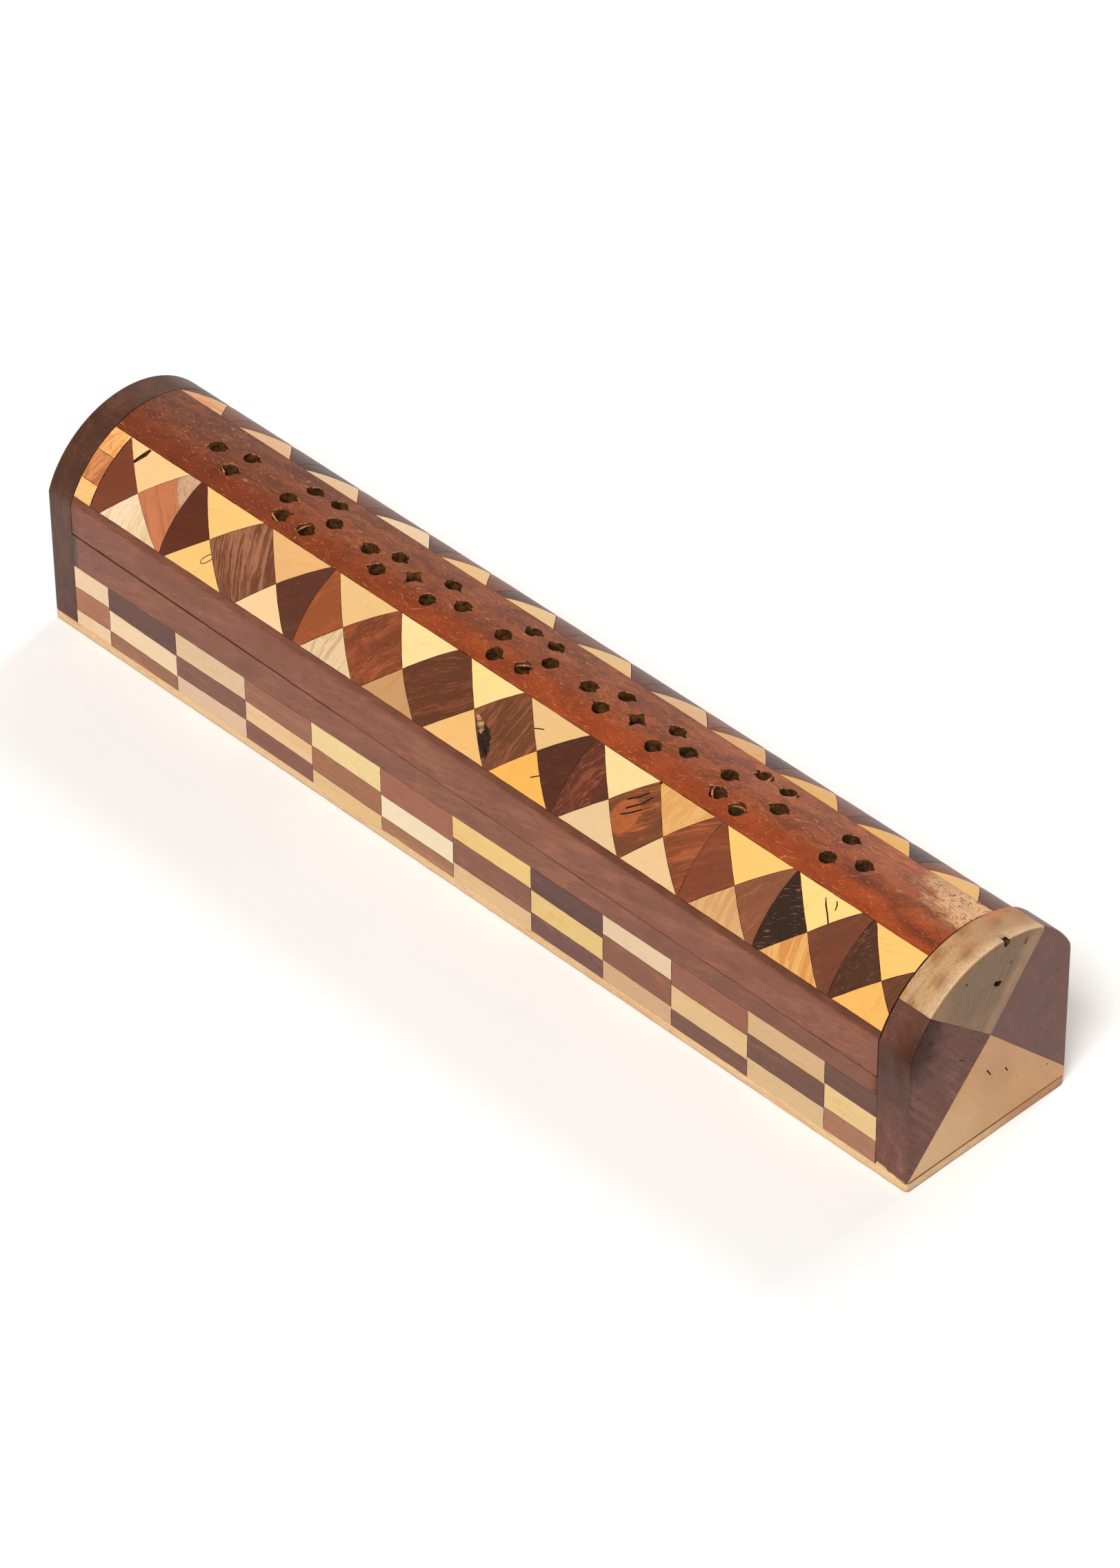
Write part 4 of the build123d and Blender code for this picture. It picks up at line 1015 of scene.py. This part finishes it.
# lid core with the plain rails along both long edges
shoulder = CROWN_RADIUS * atan2(HALF_WIDTH, sqrt(CROWN_RADIUS**2 - HALF_WIDTH**2))
shoulder_z = arch(shoulder)[1]
hollow_z = ARCH_Z + sqrt(HOLLOW_RADIUS**2 - INNER_Y**2)
hollow_s = CROWN_RADIUS * atan2(INNER_Y, hollow_z - ARCH_Z)
loops = []
for x in steps(*LID_X, 4.0):
    soft = seam_softness(x)
    sides = []
    for low in (LID_Z[0], seam_line(x) + seam_gap(x)):
        heights = low + soft, low + soft + 0.25, (low + shoulder_z) / 2, shoulder_z - 0.5
        half = [(HALF_WIDTH - soft, low), (HALF_WIDTH - soft * 0.3, low + soft * 0.3)]
        half += [(HALF_WIDTH, z) for z in heights]
        half += [arch(s) for s in steps(PANEL_EDGE + 0.12, shoulder - 0.4, 0.8)][::-1]
        half += [arch(PANEL_EDGE + 0.05, CROWN_RADIUS - 0.06), arch(PANEL_EDGE + 0.05, CORE_RADIUS)]
        half += [arch(s, CORE_RADIUS) for s in steps(1.5, PANEL_EDGE - 2, 2.2)][::-1]
        sides.append(half)
    inner = [arch(s, HOLLOW_RADIUS) for s in steps(-hollow_s, hollow_s, 2.5)]
    outer = sides[0] + [(-y, z) for y, z in sides[1][::-1]]
    inner = [(-INNER_Y, sides[1][0][1])] + inner + [(INNER_Y, sides[0][0][1])]
    loops.append([(x, y, z) for y, z in outer + inner])
core_mesh = cut(mesh_of("lid_core", loft(loops), WOOD), plain_holes)


def rail_glue_and_seam_shade(x, s, depth, colour):
    """Old glue along the upper edge of the front rail, and painted shade on the edge at the seam."""
    if s < 0 and depth < 1 and abs(s) < PANEL_EDGE + 1.7:
        patchy = 0.8 + 0.2 * sin(x * 0.71) * sin(x * 0.23 + 1)
        return toward(colour, (92, 48, 24), (0.5 + 0.5 * ease(-40, 60, x)) * patchy)
    # below the shoulder, painted shade along the seam
    z = HALF_WIDTH / sin(-s / CROWN_RADIUS) * cos(s / CROWN_RADIUS) + ARCH_Z if s < -shoulder else 99
    return seam_shade_and_far_end_darkening(x, z, 0, colour)


LID_RAIL = Timber((132, 76, 56), (144, 86, 62), 14, (0.18, 0.4, 0.3), (0.35, 0.06, 0.55), 402,
                  stain=rail_glue_and_seam_shade)
piece("lid_core_board", core_mesh, "lid", ["lid_core"], LID_RAIL, lid_flat, 0.06, 60)

CROSSING = Vector((0.0, 33.3))  # (y, z) where the near block's four joints meet


def end_outline(inset, proud=0.0, parts=44):
    """Outline (y, z) of an end block, drawn in by inset except along its foot. Its shoulder at the
    back may stand proud of the lid."""
    radius, half = CROWN_RADIUS - inset, HALF_WIDTH - inset
    reach = atan2(half, sqrt(radius**2 - half**2))
    curve = []
    for k in range(parts + 1):
        a = reach - 2 * reach * k / parts
        out = radius + proud * ease(0.15, 0.70, a)
        curve.append((min(half, out * sin(a)), ARCH_Z + out * cos(a)))
    foot = FLOOR_Z + 0.12 + min(inset, 0.2)
    side = [foot, 7.0, 12.0, 17.0, 22.0, 27.0, 32.0, 37.0]
    under = [(-half + 2 * half * k / 10, foot) for k in range(1, 10)]
    return [(half, z) for z in side] + curve + [(-half, z) for z in side[::-1]] + under


def block_mesh(name, material, inner_x, outer_x, outer_soft, inner_soft, proud=0.0):
    """An end block with its outer edge rounded over and its edge beside the lid eased."""
    out = 1 if outer_x > inner_x else -1
    levels = [(inner_x + out * inner_soft * share, inner_soft * inset)
              for share, inset in ((0, 1.0), (0.35, 0.3), (1, 0.0))]
    levels += [(x, 0.0) for x in steps(inner_x + out * 1.2, outer_x - out * outer_soft, out * 2.6)]
    for k in range(1, 6):
        turn = k / 5 * pi / 2
        levels.append((outer_x - out * outer_soft * (1 - sin(turn)), outer_soft * (1 - cos(turn))))
    skin = [[(x, y, z) for y, z in end_outline(inset, proud)] for x, inset in levels]
    cy, cz = CROSSING
    rim = end_outline(outer_soft, proud)
    for share in (0.93, 0.84, 0.74, 0.63, 0.51, 0.38, 0.24, 0.1):
        skin.append([(outer_x, cy + (y - cy) * share, cz + (z - cz) * share) for y, z in rim])
    return mesh_of(name, loft(skin), material)


FAR_WOOD = Timber((82, 48, 32), (94, 56, 38), 80, (0.30, 0.40, 0.3), (0.45, 0.08, 0.8), 611)
mesh = block_mesh("far_end_block", WOOD, FAR_X[1], FAR_X[0], 1.1, 0.2)
piece("far_end_board", mesh, "box", ["far_end_block"], FAR_WOOD, end_flat, 0.15, 50)

JOINTS = {"top": ((-21.1, 51.6), (17.0, 55.1)), "back": ((17.0, 55.1), (27.5, 5.5)),
          "bottom": ((27.5, 5.5), (-27.5, 3.0)), "front": ((-27.5, 3.0), (-21.1, 51.6))}


def top_wedge_drift(y, z, x, colour):
    """Greyer and darker on the end face as painted shade, cream with brown smudges on the arch, and a painted
    highlight along the ridge.
    """
    on_end = ease(152.05, 152.45, x)
    on_arch = 1 - on_end
    beside_joint = (z - 33.3) * 0.61 - y * 0.79  # distance in from the joint with the back wedge
    smudge = sin(y * 0.42 + x * 0.85) * sin(y * 0.23 - x * 0.35 + 1.1)
    return washed(
        colour,
        ((160, 116, 74), 0.5 * on_arch * ease(-10, 2, y)),
        ((146, 98, 58), 0.8 * on_arch * ease(0.15, 0.8, smudge)),
        ((184, 108, 58), 0.7 * on_arch * ease(146.5, 143.5, x) * ease(4, 8, y)),
        # painted highlight: pale cream along the rounded ridge between the arch and the end face
        ((228, 192, 150), 0.7 * on_arch * ease(151.3, 151.8, x)),
        # painted shade: the end face is made darker and greyer than the arch
        ((115, 87, 60), 0.84 * on_end),
        ((168, 128, 94), 0.7 * on_end * ease(5.5, 2.5, beside_joint + sin(z * 0.9))),
        ((148, 114, 82), 0.7 * on_end * ease(45, 37, z)),
        ((158, 122, 80), 0.5 * on_end * ease(-12, -18, y)),
    )


def bottom_wedge_drift(y, z, x, colour):
    """Paler towards the foot and the front, and browner in one spot."""
    return washed(
        colour,
        ((232, 192, 142), 0.75 * ease(26, 7, z) * ease(10, -20, y)),
        ((196, 142, 100), 0.5 * ease(9, 2, hypot(y - 3, (z - 20) * 0.8))),
    )


def front_wedge_drift(y, z, x, colour):
    """Greyer on its front face as a painted reflection, redder up by the arch, and stained dark high on the
    end face.
    """
    on_end = ease(152.0, 152.4, x)
    risen = ease(33, 40, z - (x - 147) * 0.35 + 1.5 * sin(y * 0.8 + x))
    risen *= (0.5 + 0.5 * ease(144, 151, x)) * (1 - 0.4 * ease(42, 50, z))
    fading = ease(10, 1, (y + 26) - (z - 38) * 0.45 + 1.2 * sin(z * 1.7))
    return washed(
        colour,
        # painted reflection: a greyish veil on the upper front face
        ((86, 64, 57), 0.8 * ease(-26.5, -27.2, y) * ease(12, 30, z + 2 * sin(x * 1.1))),
        ((72, 38, 20), 0.95 * (1 - on_end) * risen),
        ((54, 25, 9), 0.92 * on_end * fading * ease(33, 40, z)),
    )


# timber and material slot of each wedge
WEDGE_WOODS = {
    "top": (Timber((202, 161, 116), (170, 120, 76), 52, (1.05, 0.42, 0.2), (0.35, 0.0, 0.3), 711,
                   stain=top_wedge_drift), "grey_tan_wood"),
    "back": (Timber((109, 66, 54), (117, 73, 59), 118, (0.12, 0.3, 0.2), (0.30, 0.03, 0.25), 712),
             "mauve_brown_wood"),
    "bottom": (Timber((209, 158, 106), (203, 150, 98), 118, (0.06, 0.3, 0.3), (0.12, 0.0, 0.25), 713,
                      stain=bottom_wedge_drift), "tan_wood"),
    "front": (Timber((115, 77, 65), (128, 88, 73), 128, (0.42, 0.35, 0.2), (0.55, 0.10, 0.6), 714,
                     stain=front_wedge_drift), "mauve_brown_wood"),
}
# flaws of the end face, as (y, z) outlines
END_FLAWS = {
    "top": [
        [(0.2, 49.1), (0.5, 48.2), (1.3, 47.6), (2.3, 47.4), (3.0, 48.0), (2.7, 48.7), (1.8, 49.0),
         (1.0, 49.5)],
        [(-9.6, 54.9), (-9.1, 54.4), (-8.7, 54.5), (-9.2, 55.1)],
        [(3.3, 59.7), (3.4, 58.7), (4.2, 58.3), (5.1, 58.7), (5.4, 59.5), (4.8, 60.6), (3.7, 60.6)],
        [(10.4, 55.2), (10.8, 55.1), (11.5, 56.6), (11.2, 56.9)],
        [(5.6, 52.0), (6.0, 51.9), (6.3, 52.6), (6.0, 52.8)],
    ],
    "bottom": [
        [(-1.0, 22.4), (0.5, 20.1), (0.8, 20.2), (-0.6, 22.5)],
        [(5.5, 19.2), (6.4, 17.6), (6.7, 17.8), (5.9, 19.3)],
        [(20.4, 10.6), (20.9, 10.3), (21.1, 10.6), (20.7, 10.8)],
    ],
    "front": [[(-10.9, 31.8), (-9.2, 30.9), (-9.1, 31.1), (-10.7, 32.0)]],
}

# chipped glue along the foot of the near block's front, as (x, z)
FOOT_CHIP = [
    (142.0, 2.9), (152.6, 2.9), (151.5, 3.45), (149.5, 3.35), (147.8, 3.7), (146.4, 3.5), (145.4, 4.2),
    (143.6, 4.3), (142.0, 4.6),
]

for wedge, ends in JOINTS.items():
    material = DULL_WOOD if wedge == "front" else WOOD
    mesh = block_mesh(wedge, material, *NEAR_X, 0.8, 0.14, 1.2)
    bm = bmesh.new()
    bm.from_mesh(mesh)
    centre = (Vector(ends[0]) + Vector(ends[1])) / 2
    for end in ends:
        along = Vector(end) - CROSSING
        normal = Vector((-along.y, along.x)).normalized()
        if normal.dot(centre - CROSSING) < 0:
            normal = -normal
        point = CROSSING + normal * GLUE / 2
        made = bmesh.ops.bisect_plane(
            bm, geom=bm.verts[:] + bm.edges[:] + bm.faces[:], dist=1e-7, clear_inner=True,
            plane_co=(0, point.x * MM, point.y * MM), plane_no=(0, normal.x, normal.y),
        )
        rim = [e for e in made["geom_cut"] if isinstance(e, bmesh.types.BMEdge)]
        bmesh.ops.contextual_create(bm, geom=rim)
    bmesh.ops.recalc_face_normals(bm, faces=bm.faces)
    bm.to_mesh(mesh)
    bm.free()
    dents = [gouge(flaw, on_end, 0.5, 1.9) for flaw in END_FLAWS.get(wedge, ())]
    if wedge == "front":
        dents.append(gouge(FOOT_CHIP, on_front, 0.4, 1.3))
    # the inside of each dent and chip gets painted shade
    for dent in dents:
        dent.materials.append(HOLE_SHADE)
        mesh = cut(mesh, dent)
    mesh.name = f"near_end_{wedge}"
    timber, slot = WEDGE_WOODS[wedge]
    nodes = [f"near_end_{wedge}_wedge"]
    piece(f"near_end_{wedge}_quarter", mesh, "box", nodes, timber, end_flat, 0.08, 50)


# ---- base plate
def plate_drift(x, y, z, colour):
    """Browner along its lower edge, at the joint under the near block and towards the back corner."""
    on_end = ease(150.0, 152.0, x)
    return washed(
        colour,
        ((186, 128, 88), 0.85 * on_end * ease(-2, 12, y)),
        ((120, 76, 46), 0.85 * on_end * ease(2.5, 2.8, z) * ease(12, -2, y)),
        ((158, 108, 70), 0.7 * ease(0.7, 0.2, z)),
    )


BASE_WOOD = Timber((234, 196, 146), (218, 172, 122), 0, (0.25, 0.4, 0.3), (0.30, 0.0, 0.3), 801,
                   stain=plate_drift)


def plate_outline(inset, z, rng_seed):
    """The plate's rounded rectangle, drawn in by inset, with a slightly worn edge."""
    rng = random.Random(rng_seed)
    half_x, half_y, corner = BASE_X[1] - inset, BASE_Y[1] - inset, 1.0
    flat_x, flat_y = half_x - corner, half_y - corner
    loop = []
    for cx, cy, start in ((1, 1, 0), (-1, 1, 90), (-1, -1, 180), (1, -1, 270)):
        for k in range(7):
            turn = radians(start + 15 * k)
            loop.append((cx * flat_x + corner * cos(turn), cy * flat_y + corner * sin(turn)))
    filled = []
    for a, b in zip(loop, loop[1:] + loop[:1]):
        count = max(1, round(dist(a, b) / 3.0))
        filled += [between(a, b, k / count) for k in range(count)]
    worn = []
    for x, y in filled:
        pull = rng.uniform(0, 0.10)
        worn.append((x * (1 - pull / half_x), y * (1 - pull / half_y), z))
    return worn


# inset and height of each ring of the plate's rounded edge
PLATE_RINGS = (
    (0.35, 0.0), (0.08, 0.3), (0.0, 0.8), (0.0, 1.7), (0.0, 2.5), (0.06, 2.8), (0.25, FLOOR_Z - 0.02),
)
loops = [plate_outline(inset, z, 3 + (k > 3)) for k, (inset, z) in enumerate(PLATE_RINGS)]
mesh = mesh_of("base_plate", loft(loops), WOOD)
piece("base_plate_board", mesh, "box", ["base_plate"], BASE_WOOD, floor_flat, bevel=0)

# ---- CAD pieces that keep their shape
HOLDER_TINTS = (*srgb(150, 92, 62), 1), (*srgb(172, 112, 78), 1)
HOLDER_WOOD = wood("holder_wood", 0.6, 0.0, fixed=(*HOLDER_TINTS, (0.35, 0.4, 0.3), (0.5, 0.05, 0.3)))


def carry_over(node, material, bevel):
    """Gives a CAD node its material and eases its edges."""
    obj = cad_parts[node]
    obj.data.materials.clear()
    obj.data.materials.append(material)
    weld = obj.modifiers.new("weld", "WELD")
    weld.merge_threshold = 0.000002
    soften(obj, bevel, 40)


carry_over("stick_holder", HOLDER_WOOD, 0.15)
for node in ("cone_plate_pin", "body_hinge_screws", "lid_hinge_screws"):
    carry_over(node, SCREW_BRASS, 0.06)
carry_over("cone_plate", BRASS, 0.06)
for place in ("far", "near"):
    carry_over(f"{place}_hinge_body_leaf", BRASS, 0.10)
    carry_over(f"{place}_hinge_lid_leaf", BRASS, 0.10)
    carry_over(f"{place}_hinge_pin", BRASS, 0.08)
carry_over("base_brads", STEEL, 0.05)

# ---- floor, light and camera
FLOOR_SIDE = 4000


def stage_floor():
    corners = [(x * FLOOR_SIDE, y * FLOOR_SIDE, 0) for x, y in ((-1, -1), (1, -1), (1, 1), (-1, 1))]
    g = Graph("pale_floor")
    cloud = g.noise(g.millimetres(), 0.01, 3)
    colour = g.mix(cloud, (0.91, 0.91, 0.92, 1), (0.94, 0.94, 0.945, 1))
    pale_floor = g.finish(colour, g.ramp(cloud, 0.3, 0.7, 0.7, 0.8))
    obj = bpy.data.objects.new("floor", mesh_of("floor", (corners, [[0, 1, 2, 3]]), pale_floor))
    scene.collection.objects.link(obj)


def area_light(name, at, size, power, colour=(1, 1, 1), towards=(0, 0, 30)):
    data = bpy.data.lights.new(name, "AREA")
    data.shape, data.size, data.size_y = "RECTANGLE", size[0] * MM, size[1] * MM
    data.energy, data.color = power, colour
    obj = bpy.data.objects.new(name, data)
    obj.location = [c * MM for c in at]
    obj.rotation_mode = "QUATERNION"
    obj.rotation_quaternion = (Vector(towards) - Vector(at)).to_track_quat("-Z", "Y")
    scene.collection.objects.link(obj)


stage_floor()
world = bpy.data.worlds.new("studio")
world.use_nodes = True
backdrop = world.node_tree.nodes["Background"].inputs
backdrop["Color"].default_value = (1.0, 0.97, 0.93, 1)
backdrop["Strength"].default_value = 0.27
scene.world = world
area_light("key", (1000, -2300, 3000), (1700, 1700), 150, (1.0, 0.98, 0.95))
area_light("sky", (-1000, 1000, 900), (1500, 900), 3.5, (1.0, 0.97, 0.93))
area_light("back", (-200, 1650, 1400), (900, 600), 20, (1.0, 0.98, 0.95))
scene.view_settings.view_transform = "Standard"

AZIMUTH, ELEVATION, ROLL = radians(46.146), radians(40.29), radians(-0.542)
TARGET, DISTANCE = Vector((7.5, 0, 23.0)), 1691.9
back = Vector((sin(AZIMUTH) * cos(ELEVATION), -cos(AZIMUTH) * cos(ELEVATION), sin(ELEVATION)))
right = (-back).cross(Vector((0, 0, 1))).normalized()
up = right.cross(-back)
rolled_right = right * cos(ROLL) + up * sin(ROLL)
rolled_up = up * cos(ROLL) - right * sin(ROLL)
camera = bpy.data.objects.new("camera", bpy.data.cameras.new("camera"))
camera.data.lens, camera.data.sensor_width = 157.18, 36
camera.data.clip_start, camera.data.clip_end = 0.05, 20
turn = Matrix((rolled_right, rolled_up, back)).transposed()
camera.matrix_world = Matrix.Translation((TARGET + back * DISTANCE) * MM) @ turn.to_4x4()
scene.collection.objects.link(camera)
scene.camera = camera
